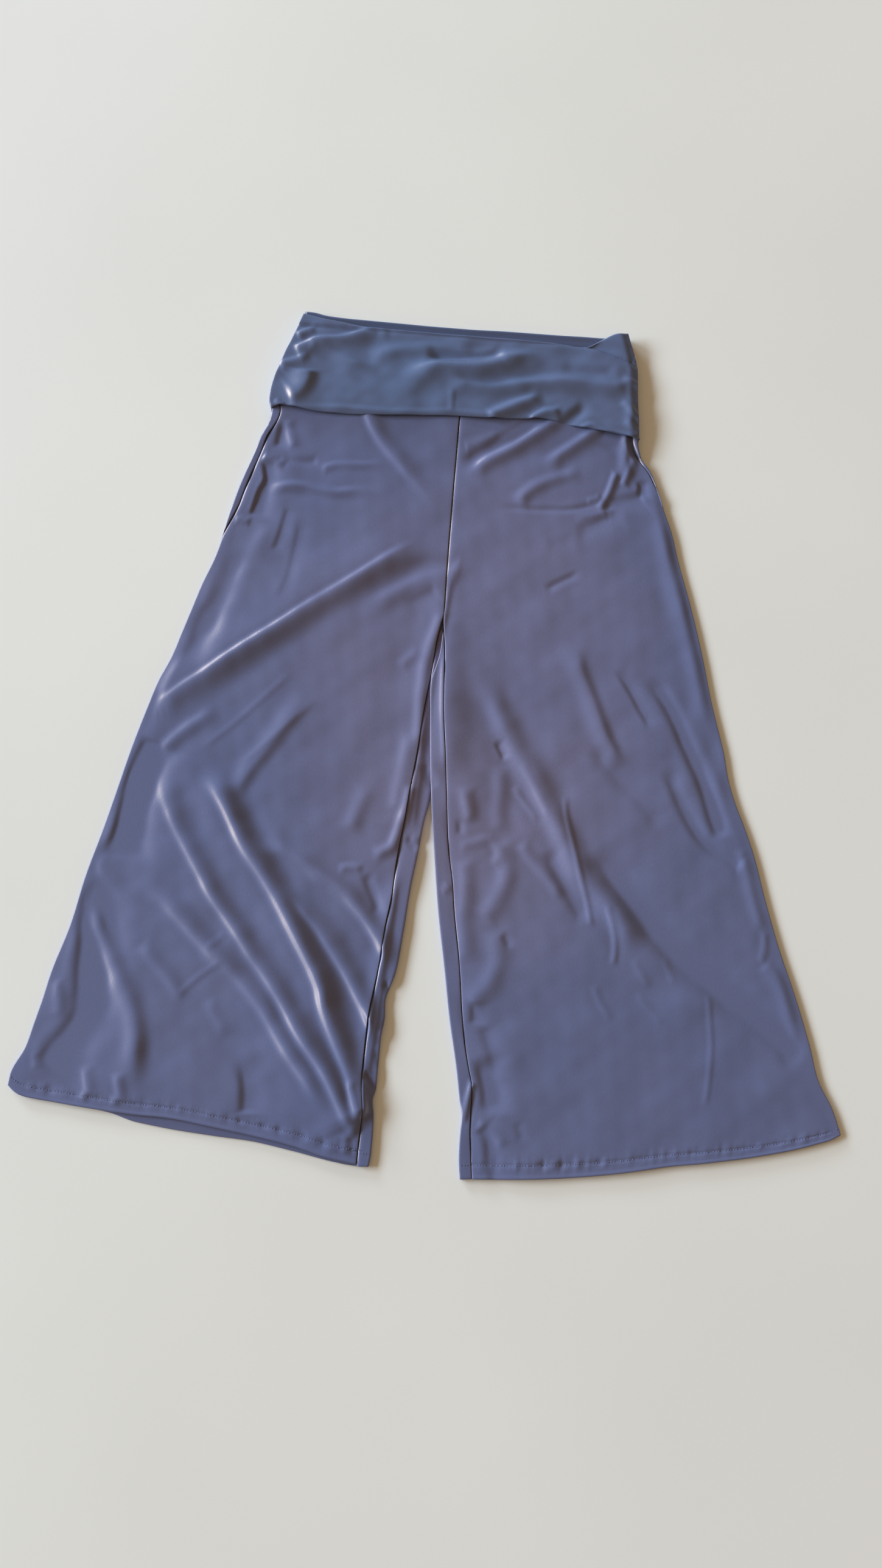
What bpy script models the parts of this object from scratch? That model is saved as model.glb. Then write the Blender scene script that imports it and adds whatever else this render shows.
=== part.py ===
"""Fold-over capri pants in thin jersey, laid flat with the front up.

Two wide, flared legs hang from a deep double waistband that is folded down all round. Every cut
piece is its own solid: two front leg panels, two back leg panels and the two halves of the band.
Each is an open surface, worked out from the tables below and given its wall by Solidify.

The frame: X runs across the garment, with the wearer's right leg at -X, Y points to the waist,
and Z is the height above the surface that the garment lies on. The origin is on that surface,
under the middle of the garment. Sizes here are in millimetres, and the meshes are in metres.
"""

from collections import namedtuple

import bmesh
import bpy
import numpy as np

MM = 0.001

# ---------------------------------------------------------------- cloth
WALL = 1.2  # one layer of jersey, with the air that it traps
BAND_WALL = 2.0  # the band is two layers
SEAM_GAP = 0.5  # between two edges that a flat seam joins
SIDE_GAP = 1.0  # the same where the seam lies in a rounded edge, whose ends splay
RING_GAP = 1.6  # the same at the sides of the band, whose wall is thick for its small rings
UNDER_MIDDLE = WALL / 2  # height of a layer's middle where it lies on the surface

# ---------------------------------------------------------------- waistband
INNER_RING = 1.3  # half the spread of the upstand, which stands inside the flap
OUTER_RING = 5.3  # half the spread of the folded-down flap
TOP_FOLD = (OUTER_RING - INNER_RING) / 2  # radius of the fold at the top edge
BAND_MIDDLE = OUTER_RING + BAND_WALL / 2  # height of the band's middle plane
WAIST_SEAM_Y = 336.0  # the seam is hidden under the flap

BandSide = namedtuple("BandSide", "y left_x right_x")
BAND_SIDES = (
    BandSide(308, -219.0, 161.0),
    BandSide(322, -221.5, 161.0),
    BandSide(349, -219.0, 159.0),
    BandSide(377, -211.0, 157.0),
    BandSide(404, -201.0, 153.0),
    BandSide(431, -192.5, 144.0),
)

# The top edge and the flap's lower edge, across from the left side seam (0) to the right one (1).
BandEdge = namedtuple("BandEdge", "across top_front top_back flap_front flap_back")
BAND_EDGES = (
    BandEdge(0.00, 426, 426, 318, 312),
    BandEdge(0.08, 420, 421, 318, 309),
    BandEdge(0.20, 413, 420, 317, 308),
    BandEdge(0.50, 413, 419, 324, 308),
    BandEdge(0.74, 412, 421, 325, 308),
    BandEdge(0.86, 413, 424, 318, 308),
    BandEdge(1.00, 430, 430, 316, 311),
)

# ---------------------------------------------------------------- legs
# A row is a line across the leg, `along` from the waist seam. `inner` is the centre seam down to
# the crotch, and the leg's inner fold below it. `inset` is how far the front panel's inner edge
# lies in from there, `curl` how much of its half turn the back panel has made, and `roll` how
# far the side seam has rolled over the outer edge onto the front. `under` is the height of the
# back layer's middle, the tops are the front layer's, and `lift` raises the inner fold.
Row = namedtuple(
    "Row",
    "along outer_x outer_y inner_x inner_y inset curl roll under top_outer top_mid top_inner lift",
)
LOW = UNDER_MIDDLE
HIGH = BAND_MIDDLE - INNER_RING
SEAM = SEAM_GAP / 2
LEFT_ROWS = (
    Row(0, -218, 336, -24.0, 336, SEAM, 0, 0, HIGH, 7.6, 7.6, 7.6, 0),
    Row(28, -217, 308, -24.0, 308, SEAM, 0, 8, HIGH, 7.4, 7.4, 7.2, 0),
    Row(52, -226, 284, -23.9, 284, SEAM, 0, 9, LOW, 6.0, 5.6, 5.4, 0),
    Row(125, -242, 210, -23.4, 211, SEAM, 0, 8.6, LOW, 3.6, 4.6, 4.4, 0),
    Row(180, -255, 157, -22.8, 156, SEAM, 0, 0, LOW, 3.6, 4.2, 3.8, 0),
    Row(231, -270, 105, -21.5, 105, SEAM, 0, 0, LOW, 3.6, 4.2, 2.3, 0),
    Row(251, -275, 86, -22.2, 85, 3.8, 1, 0, LOW, 3.6, 4.2, 2.4, 0),
    Row(270, -281, 66, -20.0, 66, 7.0, 1, 0, LOW, 3.6, 4.2, 2.4, 0),
    Row(300, -289, 36, -19.0, 36, 10.5, 1, 0, LOW, 3.6, 4.2, 2.4, 0),
    Row(375, -313, -40, -18.5, -42, 17.5, 1, 0, LOW, 3.6, 4.2, 2.4, 0),
    Row(415, -321, -80, -19.4, -81, 19.5, 1, 0, LOW, 3.6, 4.2, 2.4, 0),
    Row(465, -331, -132, -26.5, -137, 18.5, 1, 0, LOW, 3.6, 4.2, 4.0, 0),
    Row(555, -349, -220, -34.5, -229, 17.0, 1, 0, LOW, 3.6, 4.2, 4.0, 0),
    Row(645, -366, -301, -44.3, -315, 13.7, 1, 0, LOW, 3.6, 4.2, 4.0, 0),
    Row(766, -388, -383, -45.0, -427, 12.0, 1, 0, LOW, 3.6, 3.8, 3.6, 0),
)
RIGHT_ROWS = (
    Row(0, 156, 336, -24.0, 336, SEAM, 0, 0, HIGH, 7.6, 7.6, 7.6, 0),
    Row(28, 160, 308, -24.0, 308, SEAM, 0, 8, HIGH, 7.4, 7.4, 7.2, 0),
    Row(52, 170, 284, -23.9, 284, SEAM, 0, 7, LOW, 6.0, 5.6, 5.4, 0),
    Row(125, 200, 211, -23.4, 211, SEAM, 0, 0, LOW, 3.6, 4.6, 4.4, 0),
    Row(180, 217, 157, -22.8, 156, SEAM, 0, 0, LOW, 3.6, 4.2, 3.8, 0),
    Row(231, 232, 105, -21.5, 105, SEAM, 0, 0, LOW, 3.6, 4.2, 2.3, 0),
    Row(251, 238, 86, -20.4, 85, 3.4, 1, 0, LOW, 3.6, 4.2, 2.4, 3.2),
    Row(270, 243, 66, -23.0, 66, 5.4, 1, 0, LOW, 3.6, 4.2, 2.4, 3.5),
    Row(300, 251, 36, -28.0, 36, 12.0, 1, 0, LOW, 3.6, 4.2, 2.4, 3.5),
    Row(375, 271, -40, -22.5, -40, 15.5, 1, 0, LOW, 3.6, 4.2, 2.4, 3.5),
    Row(415, 286, -80, -17.4, -80, 14.8, 1, 0, LOW, 3.6, 4.2, 2.4, 3.5),
    Row(465, 304, -130, -10.0, -133, 14.0, 1, 0, LOW, 3.6, 4.2, 4.0, 0),
    Row(555, 336, -222, 4.5, -226, 16.5, 1, 0, LOW, 3.6, 4.2, 4.0, 0),
    Row(645, 364, -304, 24.0, -311, 10.5, 1, 0, LOW, 3.6, 4.2, 4.0, 0),
    Row(766, 388, -361, 40.0, -431, 11.0, 1, 0, LOW, 3.6, 3.8, 3.6, 0),
)
CROTCH = 231  # along, where the centre seams end and the inseams start

# How far the hem drops below the straight line between its corners, outer (0) to inner (1).
HemPoint = namedtuple("HemPoint", "across left_front left_back right_front right_back")
HEM_DROP = (
    HemPoint(0.00, 0.0, 0.0, 0.0, 0.0),
    HemPoint(0.06, 6.5, 5.5, 5.0, 4.0),
    HemPoint(0.28, 3.6, 5.0, 10.0, 9.0),
    HemPoint(0.50, -3.6, 5.0, 11.0, 10.0),
    HemPoint(0.80, -2.6, 1.6, 8.0, 7.0),
    HemPoint(1.00, 0.0, 0.0, 0.0, 0.0),
)
HEM_REACH = 90  # how far up the leg the hem's curve is felt

# The largest folds of the front panels: soft ridges from a start to an end, bowed to one side.
Fold = namedtuple("Fold", "start_x start_y end_x end_y bow height width")
FOLDS = {
    "front_left": (
        Fold(-46, 190, -296, -8, 12, 5.0, 26),  # across the thigh
        Fold(-125, 316, -34, 205, 6, 1.8, 18),  # from under the flap
        Fold(-250, -68, -62, -384, 26, 4.0, 22),
        Fold(-292, -68, -62, -396, 28, 4.0, 24),
        Fold(-298, -180, -86, -394, 16, 3.4, 30),
        Fold(-345, -201, -277, -376, 14, 3.0, 26),
        Fold(-137, 46, -220, -92, -8, 1.8, 26),
    ),
    "front_right": (
        Fold(66, 316, -18, 256, 4, 1.8, 16),
        Fold(112, 312, 24, 238, 4, 1.6, 18),
        Fold(8, 72, 190, -196, 22, 3.4, 30),
        Fold(176, 74, 276, -76, -14, 2.6, 26),
        Fold(36, -60, 70, -380, 8, 1.8, 26),
        Fold(282, -108, 320, -230, 8, 2.0, 24),
    ),
}
FOLD_EDGE = 16  # a fold starts to die out this far from a panel's edge

# ---------------------------------------------------------------- meshing
STATIONS = np.array(
    [0, 14, 28, 40, 52, 70, 100, 135, 168, 200, 231, 237, 243, 251, 262, 275, 300]
    + [340, 380, 420, 460, 500, 540, 580, 625, 670, 715, 766],
    float,
)
EDGE_COLUMNS = 4  # across the rounded outer edge
FRONT_COLUMNS = 8  # across the front panel, up to where the inner fold lifts it
BACK_COLUMNS = 3  # the same on the back panel, which is flat there
LIFT_COLUMNS = (64.0, 49.0, 34.0, 20.0)  # from the inner line, where the lift needs its shape
TURN_COLUMNS = 4  # round the inner fold
WRAP_COLUMNS = 2  # across the strip that wraps over the fold
BAND_COLUMNS = 16
LIFT_END = 15.0  # the lift is whole from here to the inner fold
PAST_EDGE = 2.0  # the edge's columns reach this far onto the flat
HIP_STRIP = 12.0  # width of the seam columns where the back panel is still flat
BAND_ROWS = (3, 6, 4)  # up the upstand, round the top fold, down the flap


def smooth(at, stops, values):
    """Values at `at` on a curve through every stop that never swings past them: a cubic between
    two stops, with the slopes of parabolas through neighbours, held back where they would."""
    stops, values = np.asarray(stops, float), np.asarray(values, float)
    steepness = np.diff(values) / np.diff(stops)
    before = np.append(steepness[0], steepness)
    after = np.append(steepness, steepness[-1])
    most = np.where(before * after > 0, 3 * np.minimum(abs(before), abs(after)), 0)
    slopes = np.clip(np.gradient(values, stops), -most, most)
    i = np.clip(np.searchsorted(stops, at, side="right") - 1, 0, len(stops) - 2)
    step = stops[i + 1] - stops[i]
    t = np.clip((at - stops[i]) / step, 0, 1)
    rise = values[i + 1] - values[i]
    start, end = slopes[i] * step, slopes[i + 1] * step
    return values[i] + t * (start + t * (3 * rise - 2 * start - end + t * (start + end - 2 * rise)))


def ramp(value, low, high):
    """0 below low, 1 above high, and a smooth S between them."""
    t = np.clip((value - low) / (high - low), 0, 1)
    return t * t * (3 - 2 * t)


def mix(first, second, share):
    """The first where share is 0, the second where it is 1."""
    return first + (second - first) * share


def column(rows, name, along):
    """One column of a leg's table at each station. The hip and the leg are read apart, because
    the seams turn a corner at the crotch."""
    stops = np.array([row.along for row in rows], float)
    values = np.array([getattr(row, name) for row in rows], float)
    hip, leg = stops <= CROTCH, stops >= CROTCH
    above = smooth(along, stops[hip], values[hip])
    below = smooth(along, stops[leg], values[leg])
    return np.where(along <= CROTCH, above, below)


def round_edge(arc, radius):
    """A layer at a rounded edge, `arc` from the edge's middle, over it (+) or under it (-):
    how far in from the edge it is, and how high above the edge's middle."""
    turn = np.clip(arc / radius, -np.pi / 2, np.pi / 2)
    flat = np.maximum(np.abs(arc) - radius * np.pi / 2, 0)
    return radius * (1 - np.cos(turn)) + flat, radius * np.sin(turn)


def fold_height(x, y, folds):
    """Height of all the folds at each point. A fold's cross-section is a bell, its middle line
    is a parabola over the line between its ends, and it fades towards both ends."""
    height = np.zeros_like(x)
    for fold in folds:
        run = np.array([fold.end_x - fold.start_x, fold.end_y - fold.start_y], float)
        length = np.hypot(*run)
        run /= length
        away_x, away_y = x - fold.start_x, y - fold.start_y
        t = np.clip((away_x * run[0] + away_y * run[1]) / length, 0, 1)
        off = away_x * -run[1] + away_y * run[0] + fold.bow * 4 * t * (1 - t)
        height += fold.height * np.sin(np.pi * t) ** 0.8 * np.exp(-((off / fold.width) ** 2) * 2)
    return height


class Leg:
    """One leg's form, read from its table at every station."""

    def __init__(self, side, rows):
        self.side = side
        for name in Row._fields[1:]:
            setattr(self, name, column(rows, name, STATIONS)[:, None])
        self.width = np.hypot(self.inner_x - self.outer_x, self.inner_y - self.outer_y)
        self.outer_radius = (self.top_outer - self.under) / 2
        self.inner_radius = (self.top_inner - self.under) / 2

    def place(self, inward, height, layer):
        """Points `inward` from the outer edge on each row's line, with the hem's drop and the
        lift of the inner fold."""
        share = np.clip(inward / self.width, 0, 1)
        x = mix(self.outer_x, self.inner_x, inward / self.width)
        y = mix(self.outer_y, self.inner_y, inward / self.width)
        drop = [getattr(point, f"{self.side}_{layer}") for point in HEM_DROP]
        near_hem = ramp(STATIONS, STATIONS[-1] - HEM_REACH, STATIONS[-1])[:, None]
        y = y - near_hem * smooth(share, [point.across for point in HEM_DROP], drop)
        lifted = self.lift * ramp(inward, self.width - LIFT_COLUMNS[0], self.width - LIFT_END)
        return x, y, height + lifted

    def top(self, share):
        """Height of the front layer across the leg, outer edge (0) to inner edge (1)."""
        straight = mix(self.top_outer, self.top_inner, share)
        dip = self.top_mid - (self.top_outer + self.top_inner) / 2
        return straight + dip * 4 * share * (1 - share)

    def flat_columns(self, start, count, from_inner):
        """Columns spread evenly from the outer edge's last one, then at set distances from the
        inner line."""
        first = self.width - from_inner[0]
        even = mix(start, first, np.arange(1, count) / count)
        return np.hstack([even, self.width - np.array(from_inner)])

    def front(self):
        """The front panel's middle surface: over the outer edge from the side seam, then across
        to the centre seam or the inseam."""
        start = self.roll + SIDE_GAP / 2
        quarter = self.outer_radius * np.pi / 2
        steps = np.arange(EDGE_COLUMNS + 1) / EDGE_COLUMNS
        arc = start + steps * (np.maximum(quarter - start, 0) + PAST_EDGE)
        inward, rise = round_edge(arc, self.outer_radius)
        across = self.flat_columns(inward[:, -1:], FRONT_COLUMNS, LIFT_COLUMNS[:-1])
        inward = np.hstack([inward, across, self.width - self.inset])
        rise = np.hstack([rise, self.outer_radius * np.ones_like(inward[:, rise.shape[1] :])])
        share = inward / self.width
        height = self.top(share) + rise - self.outer_radius
        x, y, height = self.place(inward, height, "front")
        from_edge = np.minimum(inward, self.width - inward)
        fade = ramp(from_edge, 0, FOLD_EDGE) * ramp(WAIST_SEAM_Y - y, 0, FOLD_EDGE)
        height += fade * fold_height(x, y, FOLDS[f"front_{self.side}"])
        return x, y, height

    def back(self):
        """The back panel's middle surface: from the side seam round and under the outer edge,
        across the flat, and up over the inner fold to the inseam, or straight to the centre
        seam above the crotch."""
        start = self.roll - SIDE_GAP / 2
        end = -self.outer_radius * np.pi / 2 - PAST_EDGE
        steps = np.arange(EDGE_COLUMNS + 1) / EDGE_COLUMNS
        edge_in, edge_rise = round_edge(mix(start, end, steps), self.outer_radius)

        # The seam strip, by its length from where it leaves the flat. Its turn is `curl` of a
        # half turn, and what is left over runs straight on to the seam.
        turn = self.curl * np.pi
        arc = self.inner_radius * turn
        leaves = self.width - self.inner_radius * np.sin(np.minimum(turn, np.pi / 2))
        leaves = leaves - (1 - self.curl) * SEAM_GAP / 2
        wrap = np.maximum(self.inset - self.inner_radius - SEAM_GAP, 0) * self.curl
        steps = np.arange(TURN_COLUMNS + WRAP_COLUMNS + 1)
        in_turn = np.clip(steps / TURN_COLUMNS, 0, 1)
        in_wrap = np.clip((steps - TURN_COLUMNS) / WRAP_COLUMNS, 0, 1)
        flat_strip = mix(-HIP_STRIP, 0, steps / steps.max())
        length = mix(flat_strip, arc * in_turn + wrap * in_wrap, self.curl)
        angle = np.clip(length, 0, arc) / self.inner_radius
        beyond = np.maximum(length - arc, 0)
        strip_in = leaves + self.inner_radius * np.sin(angle) + np.cos(turn) * beyond
        strip_in = strip_in + np.minimum(length, 0)
        strip_rise = self.inner_radius * (1 - np.cos(angle)) + np.sin(turn) * beyond

        flat_in = self.flat_columns(edge_in[:, -1:], BACK_COLUMNS, LIFT_COLUMNS)
        rise = [self.outer_radius + edge_rise, 0 * flat_in, strip_rise]
        inward = np.hstack([edge_in, flat_in, strip_in])
        return self.place(inward, self.under + np.hstack(rise), "back")


def band_half(face):
    """Half of the waistband: up the upstand from the waist seam, out and over the top fold, and
    down the flap. Each of its rows is half of a flattened ring, which turns round a quarter
    circle at both side seams."""
    sign = 1 if face == "front" else -1
    up, over, down = BAND_ROWS
    climb = np.concatenate([np.arange(up) / up, np.ones(over + down + 1)])
    turn = np.concatenate([np.zeros(up), np.arange(over) / over, np.ones(down + 1)]) * np.pi
    fall = np.concatenate([np.zeros(up + over), np.arange(down + 1) / down])
    climb, turn, fall = climb[:, None], turn[:, None], fall[:, None]
    radius = (INNER_RING + OUTER_RING) / 2 - TOP_FOLD * np.cos(turn)

    corner = np.arange(EDGE_COLUMNS) / EDGE_COLUMNS
    middle = np.arange(BAND_COLUMNS - EDGE_COLUMNS * 2 + 1)[None, :]
    across = np.hstack([corner * 0, (middle / middle.max())[0], corner * 0 + 1])
    inset_angle = RING_GAP / 2 / radius
    left = mix(inset_angle, np.pi / 2, corner)
    right = left[:, ::-1]
    straight = np.full((len(radius), middle.size), np.pi / 2)
    angle = np.hstack([left, straight, right])
    outwards = np.hstack([-np.cos(left), 0 * straight, np.cos(right)])

    stops = [edge.across for edge in BAND_EDGES]
    top = smooth(across, stops, [getattr(edge, f"top_{face}") for edge in BAND_EDGES])
    flap = smooth(across, stops, [getattr(edge, f"flap_{face}") for edge in BAND_EDGES])
    spring = top - TOP_FOLD
    y = mix(WAIST_SEAM_Y + SEAM_GAP, spring, climb) + TOP_FOLD * np.sin(turn)
    y = y + (flap - spring) * fall
    side_y = [side.y for side in BAND_SIDES]
    left_x = smooth(y, side_y, [side.left_x for side in BAND_SIDES]) + OUTER_RING
    right_x = smooth(y, side_y, [side.right_x for side in BAND_SIDES]) - OUTER_RING
    x = mix(left_x, right_x, across) + radius * outwards
    return x, y, BAND_MIDDLE + sign * radius * np.sin(angle)


def make_sheet(name, surface, wall, material, collection):
    """A grid laid on a surface of points, rows by columns, with a wall of even thickness."""
    x, y, z = (np.broadcast_to(part, surface[2].shape) for part in surface)
    rows, columns = surface[2].shape
    sheet = bmesh.new()
    bmesh.ops.create_grid(sheet, x_segments=columns - 1, y_segments=rows - 1, size=1)
    for vertex in sheet.verts:
        i = round((vertex.co.y + 1) / 2 * (rows - 1))
        j = round((vertex.co.x + 1) / 2 * (columns - 1))
        vertex.co = (x[i, j] * MM, y[i, j] * MM, z[i, j] * MM)
    mesh = bpy.data.meshes.new(name)
    sheet.to_mesh(mesh)
    sheet.free()
    mesh.shade_smooth()
    mesh.materials.append(material)
    piece = bpy.data.objects.new(name, mesh)
    collection.objects.link(piece)
    solidify = piece.modifiers.new("Wall", "SOLIDIFY")
    solidify.thickness = wall * MM
    solidify.offset = 0
    return piece


def make_material(name, color, roughness):
    """A cloth finish: a Principled surface with no metal in it."""
    material = bpy.data.materials.new(name)
    material.use_nodes = True
    shader = material.node_tree.nodes["Principled BSDF"]
    shader.inputs["Base Color"].default_value = (*color, 1)
    shader.inputs["Roughness"].default_value = roughness
    shader.inputs["Metallic"].default_value = 0
    return material


def main():
    for leftover in list(bpy.data.objects):
        bpy.data.objects.remove(leftover)
    collection = bpy.data.collections.new("Capri pants")
    bpy.context.scene.collection.children.link(collection)

    jersey = make_material("Slate-blue jersey", (0.118, 0.122, 0.222), 0.55)
    for side, rows in (("left", LEFT_ROWS), ("right", RIGHT_ROWS)):
        leg = Leg(side, rows)
        make_sheet(f"front_{side}", leg.front(), WALL, jersey, collection)
        make_sheet(f"back_{side}", leg.back(), WALL, jersey, collection)

    doubled = make_material("Doubled slate-blue jersey", (0.122, 0.128, 0.235), 0.5)
    for face in ("front", "back"):
        make_sheet(f"band_{face}", band_half(face), BAND_WALL, doubled, collection)


main()
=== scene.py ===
# %% [markdown]
# # Fold-over capri pants in thin jersey, laid flat
#
# The garment is two wide, flared legs and a deep double waistband that is folded down all round.
# It lies on a pale floor with its front up. Six pieces of cloth were cut and sewn: two front leg
# panels, two back leg panels and the two halves of the band. A cloth simulation could drop them
# on the floor, but its folds would fall by chance, so each piece is a thin shell on a grid of
# points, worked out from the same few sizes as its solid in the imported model.
#
# Sizes are in millimetres until a mesh is made. X runs across the garment, Y points to the
# waist, and Z is the height above the floor.

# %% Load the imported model
from collections import namedtuple

import bpy
import numpy as np
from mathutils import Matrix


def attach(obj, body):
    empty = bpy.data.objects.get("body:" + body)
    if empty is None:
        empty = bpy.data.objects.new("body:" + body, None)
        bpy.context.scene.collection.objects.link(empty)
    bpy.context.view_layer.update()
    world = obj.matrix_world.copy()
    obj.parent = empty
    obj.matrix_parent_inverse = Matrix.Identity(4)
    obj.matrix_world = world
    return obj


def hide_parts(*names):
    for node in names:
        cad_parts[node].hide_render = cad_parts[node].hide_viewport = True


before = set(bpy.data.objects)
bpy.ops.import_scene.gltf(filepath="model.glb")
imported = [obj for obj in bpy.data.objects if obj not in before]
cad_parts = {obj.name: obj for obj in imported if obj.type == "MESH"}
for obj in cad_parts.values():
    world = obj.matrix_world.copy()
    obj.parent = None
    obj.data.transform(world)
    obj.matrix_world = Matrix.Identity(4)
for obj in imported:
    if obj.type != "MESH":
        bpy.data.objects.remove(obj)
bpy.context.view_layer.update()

MM = 0.001
print("packed nodes:", sorted(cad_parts))

# %% [markdown]
# ## Curves through a few sizes
#
# A sewing pattern is drawn through a few measured points, with a bendy ruler. `smooth` is that
# ruler for one number: its curve passes through every measured value and never swings past them.
# `curve_through` draws a line on the cloth, and `ripple` is the unevenness that all cloth has.

# %% Helpers for curves
def cubic(t, first, rise, start, end):
    """The cubic that climbs by rise while t goes from 0 to 1, with these slopes at its ends."""
    return first + t * (start + t * (3 * rise - 2 * start - end + t * (start + end - 2 * rise)))


def smooth(at, stops, values):
    """A cubic between two stops, with the slopes of parabolas through the neighbours, held back
    where the curve would swing past a value."""
    stops, values = np.asarray(stops, float), np.asarray(values, float)
    steepness = np.diff(values) / np.diff(stops)
    before, after = np.append(steepness[0], steepness), np.append(steepness, steepness[-1])
    most = np.where(before * after > 0, 3 * np.minimum(abs(before), abs(after)), 0)
    slopes = np.clip(np.gradient(values, stops), -most, most)
    i = np.clip(np.searchsorted(stops, at, side="right") - 1, 0, len(stops) - 2)
    step = stops[i + 1] - stops[i]
    t = np.clip((at - stops[i]) / step, 0, 1)
    return cubic(t, values[i], values[i + 1] - values[i], slopes[i] * step, slopes[i + 1] * step)


def ramp(value, low, high):
    """0 below low, 1 above high, and a smooth S between them."""
    t = np.clip((value - low) / (high - low), 0, 1)
    return t * t * (3 - 2 * t)


def bell(distance, width):
    """1 at no distance, falling off to both sides as exp(-(distance / width) squared)."""
    return np.exp(-((distance / width) ** 2))


def mix(first, second, share):
    """The first where share is 0, the second where it is 1."""
    return first + (second - first) * share


def unit(vectors):
    """Vectors of the same directions, each of length 1."""
    return vectors / np.maximum(np.linalg.norm(vectors, axis=-1, keepdims=True), 1e-9)


def curve_through(points, step):
    """Points about `step` apart on a cubic through the given ones, over its chord length."""
    along = np.concatenate([[0], np.cumsum(np.hypot(*np.diff(points, axis=0).T))])
    if len(points) == 2:
        share = np.linspace(0, 1, max(int(along[-1] / step), 2))[:, None]
        return mix(points[0], points[1], share)
    slopes = np.gradient(points, along, axis=0)
    at = np.linspace(0, along[-1], max(int(along[-1] / step), 3))
    i = np.clip(np.searchsorted(along, at, side="right") - 1, 0, len(along) - 2)
    width = (along[i + 1] - along[i])[:, None]
    t = (at - along[i])[:, None] / width
    return cubic(t, points[i], points[i + 1] - points[i], slopes[i] * width, slopes[i + 1] * width)


def ripple(x, y, wavelength, seed, waves=14):
    """Smooth noise of about unit size: plane waves in random directions, added up."""
    rng = np.random.default_rng(seed)
    total = np.zeros(np.broadcast(x, y).shape)
    for angle, phase, stretch in rng.random((waves, 3)):
        k = 2 * np.pi / (wavelength * (0.7 + 0.8 * stretch))
        turn = 2 * np.pi * angle
        total += np.sin(k * (x * np.cos(turn) + y * np.sin(turn)) + 2 * np.pi * phase)
    return total * np.sqrt(2 / waves)


def unevenness(x, y, ripples):
    """The sum of a few ripples, each given by its height, its wavelength and its seed."""
    return sum(height * ripple(x, y, wavelength, seed) for height, wavelength, seed in ripples)


print("a ramp from 0 to 1 climbs like this:", ramp(np.linspace(0, 1, 5), 0, 1))


# %% [markdown]
# ## Camera, light and floor
#
# The garment is seen from about a metre above it, tilted ten degrees towards the waist. Light
# that grazes the cloth draws its folds, so a cool, low window stands far off on the left, a
# second one beyond the waist lights the slopes that face it, and warm room light fills the rest.

# %% Camera
LOOK_AT = np.array([-0.0096, -0.0643, 0.0])
CAMERA_TURN = np.radians([10.0, 0.0, 5.0])
CAMERA_DISTANCE = 1.15
tilt, turn = CAMERA_TURN[0], CAMERA_TURN[2]
backwards = np.array([np.sin(tilt) * np.sin(turn), -np.sin(tilt) * np.cos(turn), np.cos(tilt)])
camera = bpy.data.objects.new("Camera", bpy.data.cameras.new("Camera"))
camera.data.lens = 27.0
camera.data.clip_start = 0.01
camera.location = LOOK_AT + backwards * CAMERA_DISTANCE
camera.rotation_euler = CAMERA_TURN
bpy.context.scene.collection.objects.link(camera)
bpy.context.scene.camera = camera
bpy.context.scene.view_settings.view_transform = "Standard"
print("camera at", [round(v, 3) for v in camera.location])

# %% Lights
def area_light(name, azimuth, elevation, distance, size, watts, color):
    """A soft rectangular light that faces the garment's middle. Azimuth is from +X towards +Y."""
    data = bpy.data.lights.new(name, "AREA")
    data.shape = "RECTANGLE"
    data.size, data.size_y = size
    data.energy = watts
    data.color = color
    azimuth, elevation = np.radians(azimuth), np.radians(elevation)
    level = np.cos(elevation)
    away = np.array([level * np.cos(azimuth), level * np.sin(azimuth), np.sin(elevation)])
    light = bpy.data.objects.new(name, data)
    light.location = away * distance
    light.rotation_euler = (np.pi / 2 - elevation, 0, azimuth + np.pi / 2)
    bpy.context.scene.collection.objects.link(light)
    print(name, "gives", watts, "W from", distance, "m away")


area_light("Window", 170, 21, 12.0, (9.0, 3.2), 2590, (0.665, 0.795, 0.915))
area_light("Far window", 133, 12, 12.0, (4.0, 1.8), 1020, (0.69, 0.81, 0.92))

world = bpy.data.worlds.new("Room")
bpy.context.scene.world = world
world.use_nodes = True
background = world.node_tree.nodes["Background"]
background.inputs["Color"].default_value = (1.0, 0.73, 0.45, 1)
background.inputs["Strength"].default_value = 0.38
world.cycles_visibility.glossy = False  # the dim walls fill the shadows, and only the windows shine

# %% [markdown]
# ## Finishes
#
# Slinky jersey is a fine knit of polyester and elastane. Its yarns are smooth filaments that lie
# along the ribs, so a fold's lit flank has a long satin shine. An image of the cloth would repeat
# and blur, so its colour drifts with noise in space, and its grain is noise on the piece's own
# flat cut, so that it follows the cloth round every fold.

# %% Node helpers
def linear(hex_color):
    """An sRGB hex colour as linear RGBA."""
    channels = np.array([int(hex_color[i : i + 2], 16) for i in (0, 2, 4)]) / 255
    low, high = channels / 12.92, ((channels + 0.055) / 1.055) ** 2.4
    return (*np.where(channels <= 0.04045, low, high), 1.0)


def add_node(tree, kind, settings=None, **inputs):
    """A node of a kind, with its settings, and its inputs set to values or linked to sockets. An
    input's name has _ for each space, and a plain number is written as in_6."""
    node = tree.nodes.new(kind)
    for name, value in (settings or {}).items():
        setattr(node, name, value)
    for name, value in inputs.items():
        socket = node.inputs[int(name[3:]) if name.startswith("in_") else name.replace("_", " ")]
        if isinstance(value, bpy.types.NodeSocket):
            tree.links.new(value, socket)
        else:
            socket.default_value = value
    return node


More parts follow.
